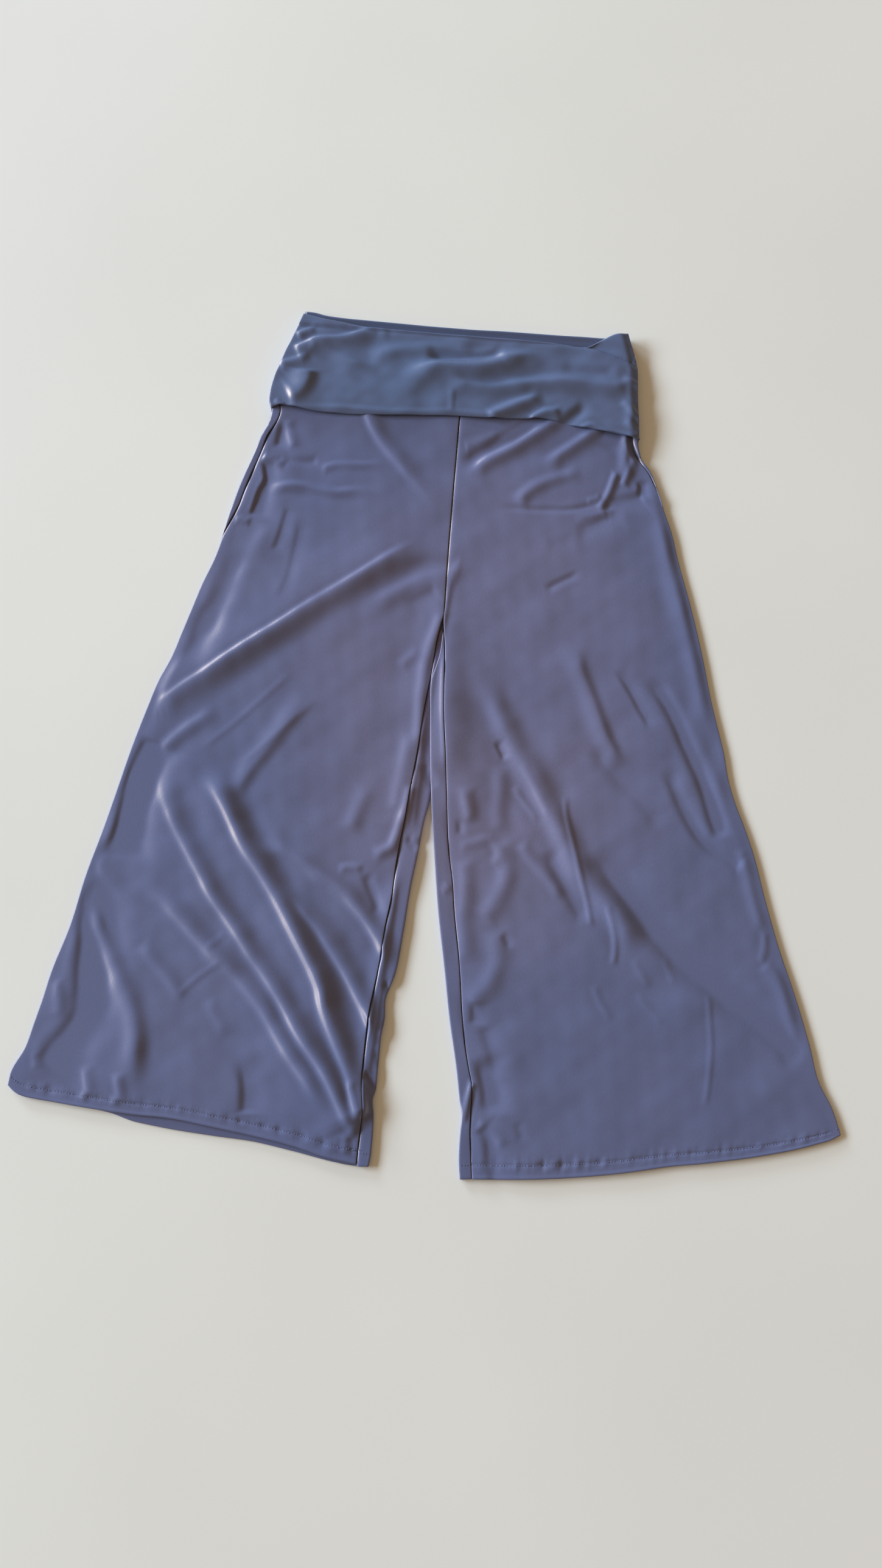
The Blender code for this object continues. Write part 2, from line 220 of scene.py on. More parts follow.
def color_ramp(tree, factor, stops):
    """A colour ramp over a factor, from (position, hex) pairs."""
    node = add_node(tree, "ShaderNodeValToRGB", Fac=factor)
    elements = node.color_ramp.elements
    while len(elements) < len(stops):
        elements.new(0.5)
    for element, (position, hex_color) in zip(elements, stops):
        element.position = position
        element.color = linear(hex_color)
    return node.outputs["Color"]


def new_material(name, **settings):
    """A material, its tree, its shader with these settings, and the coordinates of its piece."""
    material = bpy.data.materials.new(name)
    material.use_nodes = True
    tree = material.node_tree
    shader = tree.nodes["Principled BSDF"]
    for socket, value in settings.items():
        shader.inputs[socket.replace("_", " ")].default_value = value
    print("finish:", name)
    return material, tree, shader, add_node(tree, "ShaderNodeTexCoord").outputs


# %% Jersey
DRIFT = 3.0  # per metre: the dye drifts over a third of a metre
GRAIN = 620.0  # per metre: 1.6 mm across the ribs, four times as coarse as the knit, so it shows
GRAIN_STRETCH = 0.45  # and longer along the ribs: 3.6 mm
GRAIN_DEPTH = 0.00025  # metres
# painted warm light: a warmer tint painted over the middle of the legs, where warm room light falls
WARM_LIGHT_PLACE = (-0.1, -0.08, 0.0)  # the warm patch's place and size, as the Mapping node wants them
WARM_LIGHT_SCALE = (4.1, 3.1, 1.0)
WARM_LIGHT_TINT = (1.30, 1.12, 1.04, 1)


def jersey_material(name, colors):
    """Slinky polyester jersey. Its dye drifts a little, and a pool of warm room light is painted into
    it, so the cloth is a little warmer over the thighs. A fine grain, longer along the ribs than across
    them, stands for the knit. Polyester's IOR is about 1.6, and its yarns make it smoother than
    cotton and rougher than satin. The shine is drawn out across the ribs, as smooth yarns do it,
    and its warm tint takes the window's blue out of the lit flanks."""
    material, tree, shader, place = new_material(
        name,
        Roughness=0.40,
        IOR=1.6,
        Specular_IOR_Level=0.95,
        Specular_Tint=(1.0, 0.68, 0.45, 1),
        Anisotropic=0.75,
        Anisotropic_Rotation=0.25,
    )
    noise = {"Detail": 3.0, "Roughness": 0.55}
    drift = add_node(tree, "ShaderNodeTexNoise", Vector=place["Object"], Scale=DRIFT, **noise)
    ribs = add_node(tree, "ShaderNodeMapping", Vector=place["UV"], Scale=(1.0, GRAIN_STRETCH, 1.0))
    noise = {"Detail": 2.0, "Roughness": 0.6}
    grain = add_node(tree, "ShaderNodeTexNoise", Vector=ribs.outputs["Vector"], Scale=GRAIN, **noise)
    grain = grain.outputs["Fac"]
    floats, multiply = {"data_type": "FLOAT"}, {"data_type": "RGBA", "blend_type": "MULTIPLY"}
    both = add_node(tree, "ShaderNodeMix", floats, Factor=0.35, in_2=drift.outputs["Fac"], in_3=grain)
    dye = color_ramp(tree, both.outputs[0], colors)
    spread = add_node(
        tree, "ShaderNodeMapping", Vector=place["Object"], Location=WARM_LIGHT_PLACE, Scale=WARM_LIGHT_SCALE
    )
    sphere = {"gradient_type": "SPHERICAL"}
    middle = add_node(tree, "ShaderNodeTexGradient", sphere, Vector=spread.outputs["Vector"])
    soft = {"interpolation_type": "SMOOTHSTEP"}
    # painted warm light: how much of the warm light's tint is painted in, fading out from the middle
    painted_warm_light = add_node(
        tree, "ShaderNodeMapRange", soft, Value=middle.outputs["Fac"], From_Min=0.0, From_Max=0.6
    )
    color = add_node(
        tree, "ShaderNodeMix", multiply, Factor=painted_warm_light.outputs["Result"], in_6=dye, in_7=WARM_LIGHT_TINT
    )
    bump = add_node(tree, "ShaderNodeBump", Height=grain, Strength=0.22, Distance=GRAIN_DEPTH)
    across = add_node(tree, "ShaderNodeTangent", {"direction_type": "UV_MAP", "uv_map": "Cut"})
    tree.links.new(color.outputs[2], shader.inputs["Base Color"])
    tree.links.new(bump.outputs["Normal"], shader.inputs["Normal"])
    tree.links.new(across.outputs["Tangent"], shader.inputs["Tangent"])
    return material


JERSEY_COLORS = ((0.36, "5e6a92"), (0.50, "636d93"), (0.64, "697094"))
jersey = jersey_material("Slate-blue slinky jersey", JERSEY_COLORS)
# the band's two layers let no floor shine through, and keep the dye's full blue
DOUBLED_COLORS = ((0.36, "566b8f"), (0.50, "5b6c90"), (0.64, "606c8f"))
doubled_jersey = jersey_material("Doubled slate-blue jersey", DOUBLED_COLORS)

# %% Thread and floor
def cloudy_material(name, scale, stops, **settings):
    """A matt finish whose colour wanders between two hex values with noise, `scale` to a metre."""
    material, tree, shader, place = new_material(name, **settings)
    cloud = add_node(tree, "ShaderNodeTexNoise", Vector=place["Object"], Scale=scale)
    color = color_ramp(tree, cloud.outputs["Fac"], stops)
    tree.links.new(color, shader.inputs["Base Color"])
    return material


# spun polyester sewing thread, flecked over about a millimetre, matt beside the shiny cloth
THREAD_COLORS = ((0.35, "4c5176"), (0.65, "70769e"))
thread = cloudy_material("Matching polyester thread", 900.0, THREAD_COLORS, Roughness=0.6)
# painted board, which gives the eye a soft even grey
FLOOR_COLORS = ((0.3, "e2e2df"), (0.7, "e6e6e3"))
paint = cloudy_material("Pale painted board", 3.0, FLOOR_COLORS, Roughness=0.7, Specular_IOR_Level=0.2)

FLOOR_HALF = 3.0
FLOOR_BELOW = 0.0002  # metres under the garment, so that the two faces never coincide
floor_mesh = bpy.data.meshes.new("floor")
corners = [(x, y, -FLOOR_BELOW) for x, y in FLOOR_HALF * np.array([(-1, -1), (1, -1), (1, 1), (-1, 1)])]
floor_mesh.from_pydata(corners, [], [(0, 1, 2, 3)])
floor_mesh.materials.append(paint)
floor = bpy.data.objects.new("floor", floor_mesh)
bpy.context.scene.collection.objects.link(floor)

# %% [markdown]
# ## A thin shell from a grid
#
# Cloth is a surface with a thickness. `shell` takes a grid of points on the cloth's middle and
# moves copies of it out along the normals. The visible side keeps every point, and the hidden
# side keeps every second one. A half circle round the rim joins them, as a rolled raw edge. A
# Solidify modifier would do the same with square rims and as many faces on the hidden side.

# %% Grids
def grid_normals(points):
    """Unit normals of a grid of points: the slope down its rows crossed with the slope across."""
    return unit(np.cross(np.gradient(points, axis=0), np.gradient(points, axis=1)))


def rim_loop(rows, columns, step):
    """Row and column numbers once round a grid's rim, in the turning sense of its faces."""
    down, across = np.arange(0, rows, step), np.arange(0, columns, step)
    row = np.concatenate([down[:-1], 0 * across[:-1] + rows - 1, down[:0:-1], 0 * across[:-1]])
    column = np.concatenate([0 * down[:-1], across[:-1], 0 * down[:-1] + columns - 1, across[:0:-1]])
    return row, column


def quads(first, row_step, rows, columns):
    """Corner numbers of a grid's faces, where its points are numbered row by row from first."""
    start = first + np.arange(rows - 1)[:, None] * row_step + np.arange(columns - 1)[None, :]
    start = start.ravel()
    return np.stack([start, start + row_step, start + row_step + 1, start + 1], axis=1)


def odd_grid(points, uv):
    """The grid without a row or a column, where that makes its counts odd, as a shell needs."""
    rows, columns = points.shape[:2]
    keep = [i for i in range(rows) if rows % 2 or i != 1]
    across = [j for j in range(columns) if columns % 2 or j != columns // 2]
    return points[keep][:, across], uv[keep][:, across]


# %% Shell builder
RIM_ANGLES = np.radians([50.0, 0.0, -50.0])


def make_piece(name, places, groups, material, marks=None):
    """An object of points in millimetres and groups of faces with equal numbers of corners. The
    marks are each point's place on the flat cut."""
    mesh = bpy.data.meshes.new(name)
    mesh.vertices.add(len(places))
    mesh.vertices.foreach_set("co", (places * MM).ravel())
    corners = np.concatenate([group.ravel() for group in groups])
    sizes = np.concatenate([np.full(len(group), group.shape[1]) for group in groups])
    mesh.loops.add(len(corners))
    mesh.loops.foreach_set("vertex_index", corners)
    mesh.polygons.add(len(sizes))
    mesh.polygons.foreach_set("loop_start", np.concatenate([[0], np.cumsum(sizes)[:-1]]))
    mesh.polygons.foreach_set("loop_total", sizes)
    if marks is not None:
        mesh.uv_layers.new(name="Cut").data.foreach_set("uv", (marks[corners] * MM).ravel())
    mesh.update(calc_edges=True)
    mesh.validate()
    mesh.shade_smooth()
    mesh.materials.append(material)
    piece = bpy.data.objects.new(name, mesh)
    bpy.context.scene.collection.objects.link(piece)
    lowest, highest = places[:, 2].min(), places[:, 2].max()
    print(f"{name}: {(sizes - 2).sum()} triangles, {lowest:.2f} to {highest:.2f} mm high")
    return piece


def shell(name, points, uv, wall, material):
    """A closed shell `wall` thick on a grid of middle points, rows down and columns across, with
    its visible side towards (down the rows) x (across the columns). Both counts are odd."""
    rows, columns = points.shape[:2]
    normal = grid_normals(points)
    top = points + normal * wall / 2
    bottom = (points - normal * wall / 2)[::2, ::2]
    row, column = rim_loop(rows, columns, 1)
    edge, edge_normal = points[row, column], normal[row, column]
    out = edge - points[np.clip(row, 1, rows - 2), np.clip(column, 1, columns - 2)]
    out = unit(out - edge_normal * (out * edge_normal).sum(axis=1, keepdims=True))
    rims = [edge + (out * np.cos(a) + edge_normal * np.sin(a)) * wall / 2 for a in RIM_ANGLES]

    coarse_rows, coarse_columns = bottom.shape[:2]
    count = len(row)
    first_bottom = rows * columns
    first_rim = first_bottom + coarse_rows * coarse_columns
    loops = [row * columns + column]
    loops += [first_rim + k * count + np.arange(count) for k in range(len(rims))]
    coarse_row, coarse_column = rim_loop(rows, columns, 2)
    low_loop = first_bottom + (coarse_row // 2) * coarse_columns + coarse_column // 2
    faces = [quads(0, columns, rows, columns)]
    faces.append(quads(first_bottom, coarse_columns, coarse_rows, coarse_columns)[:, ::-1])
    for upper, lower in zip(loops[:-1], loops[1:]):
        faces.append(np.stack([np.roll(upper, -1), upper, lower, np.roll(lower, -1)], axis=1))
    fine = loops[-1]  # two of its edges meet one of the hidden side's
    fan = np.stack([np.roll(fine, -2)[::2], np.roll(fine, -1)[::2], fine[::2]], axis=1)
    last = np.hstack([fan, low_loop[:, None], np.roll(low_loop, -1)[:, None]])

    places = np.concatenate([top.reshape(-1, 3), bottom.reshape(-1, 3)] + rims)
    marks = [uv.reshape(-1, 2), uv[::2, ::2].reshape(-1, 2)] + [uv[row, column]] * len(rims)
    return make_piece(name, places, [np.concatenate(faces), last], material, np.concatenate(marks))


# %% [markdown]
# ## Creases
#
# Soft cloth that has been worn and laid down keeps long, uneven creases. Sculpting them by hand
# can't be repeated, so they are a table. Each row is one crease: the path that it follows, as x
# and y in turn, its height along the path (a ridge is positive and a trough negative), the width
# of its flank on the side that it leans to and on the far side, and how far it takes to fade in
# and out. Where a fold leaves the cloth higher on its near side, the step says how much of it.

# %% Crease tools
Crease = namedtuple("Crease", "path height near far fade step", defaults=[0])
LEAN = np.array([-0.94, 0.34])  # the side that most folds turn their near flank to
CREST_SHIFT = 0.7  # of the near flank's width, from the path to the crest
PATH_STEP = 4.0
PATH_DRIFT = 0.4  # how far a crease strays from its path, over about 60 mm
REACH = 3.4  # flank widths from the path within which a crease is worked out
DIP = 0.7  # how far a crease swings past level beyond its flank
SWELL = 0.12  # how much higher and lower it is along its length
SHOULDER = 34.0  # width of the slope that carries a step down to level again


def crease_height(x, y, creases):
    """Height of all creases at each point. With d the distance from the crest over the flank's
    width, a crease falls off as (1 - DIP d squared) exp(-d squared). It fades in and out at its
    ends, where it is wider, and a step stays up on the near side as exp(-distance squared)."""
    height = np.zeros(x.shape)
    drift_x, drift_y = (PATH_DRIFT * ripple(x, y, 60, seed) for seed in (3, 4))
    for number, crease in enumerate(creases):
        path = curve_through(np.reshape(np.array(crease.path, float), (-1, 2)), PATH_STEP)
        reach = max(REACH * crease.near, REACH * crease.far, 2.2 * SHOULDER * (crease.step > 0))
        low, high = path.min(axis=0) - reach, path.max(axis=0) + reach
        inside = (x > low[0]) & (x < high[0]) & (y > low[1]) & (y < high[1])
        if not inside.any():
            continue
        run = np.diff(path, axis=0).astype(np.float32)
        length = np.hypot(run[:, 0], run[:, 1])
        start = path[:-1].astype(np.float32)
        shift = LEAN * CREST_SHIFT * crease.near
        px = (x[inside] + drift_x[inside] + shift[0]).astype(np.float32)[:, None] - start[:, 0]
        py = (y[inside] + drift_y[inside] + shift[1]).astype(np.float32)[:, None] - start[:, 1]
        t = np.clip((px * run[:, 0] + py * run[:, 1]) / length**2, 0, 1)
        px -= t * run[:, 0]
        py -= t * run[:, 1]
        square = px**2 + py**2
        nearest = square.argmin(axis=1)
        pick = np.arange(len(nearest)), nearest
        distance = np.sqrt(square[pick])
        along = np.concatenate([[0], np.cumsum(length)])[nearest] + t[pick] * length[nearest]
        towards = (px[pick] * LEAN[0] + py[pick] * LEAN[1]) / np.maximum(distance, 1e-3)
        near_side = ramp(towards, -0.5, 0.5)
        fade = np.ones(len(along))
        for from_end, over in zip((along, length.sum() - along), crease.fade):
            if over:
                fade = fade * ramp(from_end, 0, over)
        width = mix(crease.far, crease.near, near_side) * (1.5 - 0.5 * fade)
        share = (distance / width) ** 2
        profile = (1 - DIP * share) * np.exp(-share)
        if crease.step:
            profile += near_side * crease.step * (bell(distance, SHOULDER) - profile)
        swell = 1 + SWELL * np.sin(along / 26 + 2.4 * number)
        heights = np.atleast_1d(crease.height)
        crest = np.interp(along / length.sum(), np.linspace(0, 1, len(heights)), heights)
        height[inside] += crest * fade * swell * profile
    return height


# %% Creases of the left leg's front
LEFT_LEG_CREASES = (
    # across the thigh, from the crotch to the outer edge
    Crease((-50.5, 184.5, -73.5, 171, -98.5, 152.5, -120.5, 135.5, -148.5, 115, -178.5, 91, -200, 73.5,
        -218.5, 58.5, -238.5, 42, -258.5, 25.5, -275, 12, -287, 1, -296, -5, -308, -8),
        (4.4, 5.0, 5.6, 5.4, 4.8, 2.6), 4.6, 18, (50, 24), 0.6),
    Crease((-18, 158, -45, 160, -70, 153, -96, 139), -1.5, 11, 22, (10, 40)),
    Crease((-26, 153, -60, 140, -88, 122, -116, 101), 1.7, 10, 13, (0, 40)),
    Crease((-34, 134, -50, 123, -66, 110), -0.9, 8, 14, (8, 14)),
    Crease((-236, -8, -254, -20, -270, -33, -283, -46, -297, -66), 1.5, 7, 10, (24, 16)),
    # long diagonals of the lower leg
    Crease((-251.5, -68, -239.5, -79, -228.5, -92, -218.5, -106, -199.5, -137, -178.5, -163, -161.5, -187,
        -148.5, -206, -136.5, -224, -126.5, -239, -115.5, -257, -109.5, -269, -104.5, -286, -96.5, -304,
        -86.5, -324, -76.5, -342, -68.5, -359, -62.5, -374, -55.5, -385), (3.4, 6.6, 8.0, 7.4, 8.0, 6.0),
        6.8, 15.5, (34, 12), 0.5),
    Crease((-293, -66, -287, -82, -281, -97, -273, -112, -253, -145, -236, -170, -224, -188, -210, -205,
        -197, -220, -180, -240, -165, -257, -152, -275, -138, -293, -125, -310, -112, -326, -100, -342,
        -90, -357, -80, -373, -70, -388, -60, -398), (1.8, 3.8, 4.2, 4.8, 6.0, 6.2, 4.2),
        6.4, 14, (60, 10), 0.4),
    Crease((-300, -181, -282, -190, -262, -203, -245, -218, -230, -232, -215, -245, -203, -253, -185, -268,
        -165, -290, -145, -315, -125, -340, -108, -360, -92, -382), (2.8, 3.6, 3.6, 3.6, 4.0, 3.2),
        7, 13, (50, 40), 0.3),
    Crease((-351, -192, -345, -204, -337, -217, -329, -234, -318, -255, -304.5, -275, -291.5, -295,
        -284, -320, -282, -340, -282, -360, -282, -378), (3.4, 3.8, 3.0, 2.8, 3.2, 2.6),
        12.5, 11.5, (40, 40), 0.3),
    Crease((-342, -160, -336, -169, -326, -181, -314, -190, -300, -196, -284, -200), 0.9, 7, 12, (14, 30)),
    Crease((-150, 24, -165, 2, -180, -24, -192, -43, -202, -58, -212, -76, -218, -93), 1.7,
        13, 9, (40, 16)),
    # along the inseam
    Crease((-25, 118, -28, 106, -32, 92, -36, 78, -39, 60, -41, 35, -42, 10, -41, -12, -40, -36), 1.4,
        7, 6, (20, 20)),
    Crease((-30, 190, -36, 130, -42, 70, -46, 10, -48, -50, -49, -110), (0.8, 1.6, 2.8, 2.4),
        24, 5, (50, 20)),
    Crease((-51, -150, -54, -210, -58, -270, -61, -330, -59, -385), (1.2, 1.8, 2.2, 2.0), 12, 4, (24, 10)),
    Crease((-50, -10, -51, -28, -53, -50, -56, -75, -58, -96), 1.2, 8, 9, (14, 12)),
    Crease((-43, -66, -45, -84, -49, -104, -52, -118, -56, -129, -65, -135, -75, -138), 1.8, 6, 7, (8, 12)),
    Crease((-105, -154, -91, -152, -78, -154), 1.1, 3.6, 6, (8, 8)),
    Crease((-64, 48, -56, 60, -44, 71), 0.8, 6, 7, (8, 10)),
    Crease((-84, -68, -92, -92, -101, -122), 1.1, 9, 9, (15, 15)),
    Crease((-78, -158, -68, -177, -60, -196), -1.3, 5, 7, (8, 10)),
    Crease((-182, -132, -160, -142, -141, -150, -125, -160, -110, -168, -95, -178, -85, -188, -74, -200,
        -62, -215, -52, -229), (2.2, 3.2, 3.6, 3.4), 6.5, 12, (24, 0)),
    Crease((-160, -172, -144, -186, -130, -200, -115, -215, -100, -235, -85, -255, -72, -275, -58, -298),
        (2.6, 3.6, 4.6, 5.0), 6.5, 14, (40, 0), 0.2),
    Crease((-288, -242, -266, -261, -250, -277, -236, -294), 1.3, 7, 9, (14, 18)),
    Crease((-216, -288, -204, -304, -192, -322), 0.7, 7, 8, (10, 14)),
    # into the hem
    Crease((-178, -336, -173, -352, -169, -372, -168, -390), -1.6, 6, 18, (26, 6)),
    Crease((-74, -350, -67, -370, -60, -388), 1.4, 4, 5, (8, 8)),
    Crease((-322, -356, -316, -374, -312, -388), 1.0, 5, 8, (10, 8)),
    Crease((-291, -362, -286, -378, -283, -392), 1.0, 5, 7, (8, 6)),
    Crease((-71, -398, -70, -418), 0.9, 4, 4, (6, 4)),
    # press lines
    Crease((-245, -290, -220, -265, -202, -250), 0.35, 4, 4, (10, 10)),
    Crease((-222, -244, -202, -225), 0.35, 4, 4, (8, 8)),
    Crease((-167, 38, -205, -5, -250, -52), 0.3, 4, 4, (20, 20)),
    Crease((-140, 12, -178, -30, -214, -66), 0.25, 4, 4, (20, 20)),
    # hip
    Crease((-124, 320, -118, 307, -108, 291, -97, 278, -85, 266, -74, 254, -60, 241, -45, 224, -32, 206),
        (3.2, 3.2, 2.4, 1.6), 6, 13, (0, 80), 0.2),
    Crease((-164, 251, -150, 256, -130, 258, -96, 261), 1.0, 3.6, 6, (8, 24)),
    Crease((-216, 225, -200, 229, -180, 231, -165, 229.5, -148, 228, -128, 229.5, -98, 229), 1.9,
        4.5, 7, (20, 44)),
    Crease((-222, 257, -218, 245, -216, 234, -220, 223, -223, 210, -227, 194), -2.6, 3.6, 17, (10, 8)),
    Crease((-224, 260, -210, 254, -198, 251), 1.4, 3.6, 7, (4, 10)),
    Crease((-245, 191, -235, 190, -227, 187), 1.2, 3.6, 6, (4, 6)),
    Crease((-204, 258, -185, 257, -166, 260), -0.9, 5, 6, (8, 8)),
    Crease((-206, 300, -209, 285, -211, 268), -1.4, 5, 12, (10, 8)),
    Crease((-203, 304, -199, 286, -192, 270), 1.0, 5, 7, (8, 8)),
    Crease((-208, 192, -222, 164, -233, 134, -241, 100, -247, 80, -254, 58, -263, 46), 0.7,
        10, 12, (20, 34)),
    Crease((-232, 166, -243, 144, -251, 122, -259, 99, -266, 78, -270.5, 66, -277, 50, -285, 30),
        (-1.2, -1.8, -2.0, -1.4), 13, 17, (24, 20)),
    Crease((-190, 208, -194, 190, -198, 170, -202, 156), -0.8, 4, 9, (8, 10)),
    Crease((-178, 196, -180, 160, -184, 130, -192, 104), -0.5, 5, 10, (14, 16)),
    # beside the outer edge
    Crease((-301, -40, -306, -58, -313, -82, -316, -108, -320, -140, -325, -165), (-5.2, -6.2, -5.6, -4.0),
        11, 26, (14, 24)),
    Crease((-352, -180, -347, -200, -342, -220, -338, -240, -337, -262, -334, -285, -333, -305, -339, -325,
        -353, -345, -365, -366), (-2.2, -4.2, -5.0, -4.2, -2.2), 12, 34, (30, 14)),
    Crease((-362, -281, -357, -292, -354, -306, -355, -320), 0.7, 7, 7, (8, 10)),
    Crease((-372, -350, -368, -358, -366, -368), 0.6, 3.6, 8, (6, 6)),
    # on the strips inside the inseam
    Crease((-49, -258, -42, -268), -2.8, 4, 4, (3, 2)),
    Crease((-50, -303, -41, -314), 2.0, 4, 4, (3, 2)),
    Crease((-50, -322, -44, -338), -2.2, 4, 4, (4, 2)),
    Crease((-58, -343, -51, -353, -44, -360), -3.0, 3.6, 4, (2, 0)),
    Crease((-48, -372, -45, -384), -1.8, 4, 4, (4, 4)),
    Crease((-40, -118, -32, -126, -24, -122), -2.8, 4, 5, (4, 0)),
    Crease((-34, -46, -26, -58, -20, -70), -2.2, 6, 6, (6, 4)),
)
print(len(LEFT_LEG_CREASES), "creases in the left leg's front")

# %% Creases of the right leg's front
RIGHT_LEG_CREASES = (
    # from under the flap to the centre seam
    Crease((70, 324, 60, 314, 50, 306, 40, 299, 28, 291, 15, 283, 4, 275, -6, 265, -16, 252),
        (3.4, 3.2, 2.6, 1.8), 6, 10, (0, 24)),
    Crease((46, 324, 30, 308, 14, 297, 0, 286, -12, 277, -22, 268), -2.0, 6, 13, (0, 16)),
    Crease((-20, 288, 0, 297, 16, 306), 0.7, 6, 7, (4, 10)),
    Crease((114, 318, 100, 305, 88, 296, 76, 287, 60, 271), 2.4, 6, 9, (0, 24)),
    Crease((36, 230, 50, 247, 65, 258, 80, 265, 102, 271), 1.6, 7, 8, (12, 16)),
    Crease((18, 225, 45, 226, 70, 227, 90, 228, 105, 232, 122, 238), -1.0, 3.6, 4, (24, 10)),
    Crease((110, 239, 118, 242, 126, 246), 0.8, 3.6, 4, (5, 5)),
    Crease((139, 275, 136, 264, 133, 252, 129, 241, 122, 230), 2.0, 3.6, 5, (8, 6)),
    Crease((156, 292, 152, 280, 149, 270, 145, 258), 1.8, 3.6, 5, (8, 5)),
    Crease((144, 320, 144, 304, 144, 286, 146, 264), 1.6, 7, 5, (0, 18)),
    Crease((126, 320, 124, 306, 118, 294), -2.0, 12, 14, (0, 14)),
    Crease((150, 318, 151, 304, 156, 294, 166, 285), -4.4, 3.6, 4, (0, 10)),
    Crease((98, 221, 114, 224, 128, 228, 140, 232), 0.8, 4, 5, (12, 10)),
    Crease((98, 207, 114, 213, 130, 222, 150, 229), -1.1, 6, 12, (12, 14)),
    Crease((124, 238, 138, 242, 152, 246, 166, 253), -1.4, 6, 14, (8, 6)),
    Crease((163, 268, 165, 258, 164, 248), -2.0, 4, 10, (6, 6)),
    Crease((68, 191, 100, 197), -0.6, 8, 9, (12, 12)),
    Crease((74, 141, 90, 152, 100, 158, 111, 164), -1.0, 3.6, 5, (10, 12)),
    # down the outer side
    Crease((176, 262, 184, 225, 194, 185, 206, 140, 220, 95, 232, 55, 242, 20), 2.2, 14, 9, (16, 30)),
    Crease((278, -100, 286, -120, 292, -142, 298, -162, 306, -178), 0.9, 7, 9, (10, 14)),
    Crease((309, -178, 309, -196, 305, -211), 0.7, 4, 5, (6, 5)),
    Crease((304, -210, 318, -223, 330, -250, 342, -290), 1.1, 9, 10, (5, 20)),
    # deep folds beside the inseam
    Crease((6, -62, 12, -80, 18, -100), 1.6, 7, 10, (12, 10)),
    Crease((8, -96, 10, -114), -1.0, 4, 5, (6, 6)),
    Crease((12, -134, 16, -148, 18, -165, 18, -190, 21, -215, 25, -236), 1.3, 8, 11, (10, 14)),
    # long diagonals
    Crease((12, 52, 22, 31, 35, 10, 45, -8, 55, -25, 65, -39, 80, -62, 92, -82, 103, -102, 113, -120,
        124, -137, 140, -153, 158, -172, 172, -190, 190, -206), 3.8, 12, 15, (40, 30)),
    Crease((62, -36, 78, -59, 88, -75, 97, -90), 0.5, 3.6, 5, (12, 12)),
    Crease((58, -60, 72, -77, 86, -93), 0.8, 4, 5, (8, 10)),
    Crease((110, -64, 112, -82, 117, -103, 124, -125, 131, -146, 138, -167, 143, -191),
        (0.5, 0.9, 0.9, 0.6), 3, 3.5, (10, 8)),
    Crease((155, -166, 160, -179, 165, -195, 167, -210, 166, -226), 0.8, 3, 4, (8, 8)),
    Crease((38, -17, 49, -35), -1.2, 3.4, 8, (5, 5)),
    Crease((102, 92, 110, 62, 122, 36, 133, 12, 144, -10, 158, -32), 2.2, 12, 8, (28, 20)),
    Crease((150, 67, 160, 55, 170, 40, 180, 23, 191, 8), -1.1, 4, 10, (14, 14)),
    Crease((178, 62, 196, 42, 212, 18, 222, -3, 235, -30, 245, -52, 255, -78, 262, -94), -2.8,
        8, 9, (26, 14)),
    Crease((203, -26, 214, -48, 226, -71, 240, -93, 256, -106, 274, -114, 283, -118), -1.8, 7, 9, (20, 6)),
    Crease((128, -12, 145, -30, 165, -50, 185, -70, 202, -87), -1.0, 9, 20, (16, 16)),
    Crease((132, -112, 158, -142, 180, -170, 202, -193, 224, -210, 246, -226, 268, -241, 292, -256,
        318, -273, 344, -296), -2.8, 12, 26, (30, 24)),
    Crease((92, -118, 106, -142, 120, -163, 136, -186), -1.6, 8, 10, (14, 14)),
    # hooks by the inseam
    Crease((38, -36, 43, -58, 43, -82, 47, -108), 1.1, 9, 10, (16, 12)),
    Crease((8, -123, 24, -118, 38, -114, 46, -120, 49, -130, 43, -140), 0.9, 5, 7, (8, 6)),
    Crease((47, -112, 53, -130, 54, -150, 49, -166, 42, -180, 34, -192), 1.3, 9, 11, (10, 10)),
    Crease((46, -198, 51, -214, 52, -234, 45, -250, 36, -262, 28, -272), 1.4, 10, 11, (12, 8)),
    Crease((58, -204, 68, -216), -1.0, 4, 6, (5, 5)),
    Crease((37, -268, 38, -292), -1.2, 5, 12, (5, 6)),
    Crease((45, -290, 52, -305, 58, -320, 64, -338), -1.0, 7, 12, (8, 12)),
    Crease((43, -318, 50, -335, 55, -350, 58, -372), -2.8, 8, 18, (16, 16)),
    Crease((48, -379, 62, -385, 76, -399), 1.0, 5, 7, (5, 8)),
    Crease((50, -382, 58, -391, 62, -405, 67, -426), -1.8, 6, 14, (6, 0)),
    Crease((66, -114, 80, -129, 98, -147, 114, -166), 1.2, 6, 8, (10, 15)),
    Crease((84, -374, 93, -392), -0.6, 5, 6, (6, 6)),
    Crease((257, -240, 260, -262, 262, -285, 262, -312, 259, -350), 0.45, 3, 3, (12, 14)),
    Crease((148, -243, 155, -260, 168, -276), 0.4, 3.6, 5, (6, 8)),
    Crease((184, -216, 202, -243), 0.4, 4, 5, (8, 8)),
    Crease((212, -212, 225, -238), 0.35, 4, 5, (8, 8)),
    Crease((188, -248, 216, -276), 0.3, 4, 5, (8, 8)),
    # on the strip inside the inseam
    Crease((42, -344, 39, -360, 36, -378), 2.2, 3.6, 4, (2, 2)),
    Crease((4, -160, -2, -170), 1.4, 4, 5, (3, 3)),
)
INSEAM_RIDGE = (  # the right leg alone stands up along its inseam, over the left leg
    Crease((-31, 124, -30.7, 108, -29.2, 93, -27.2, 77, -26.2, 63, -24.7, 43, -22.7, 23, -20.7, 3,
        -18.2, -17, -16.2, -38, -14.2, -57), (2.2, 3.0, 2.8, 2.2), 14, 22, (34, 26)),
)
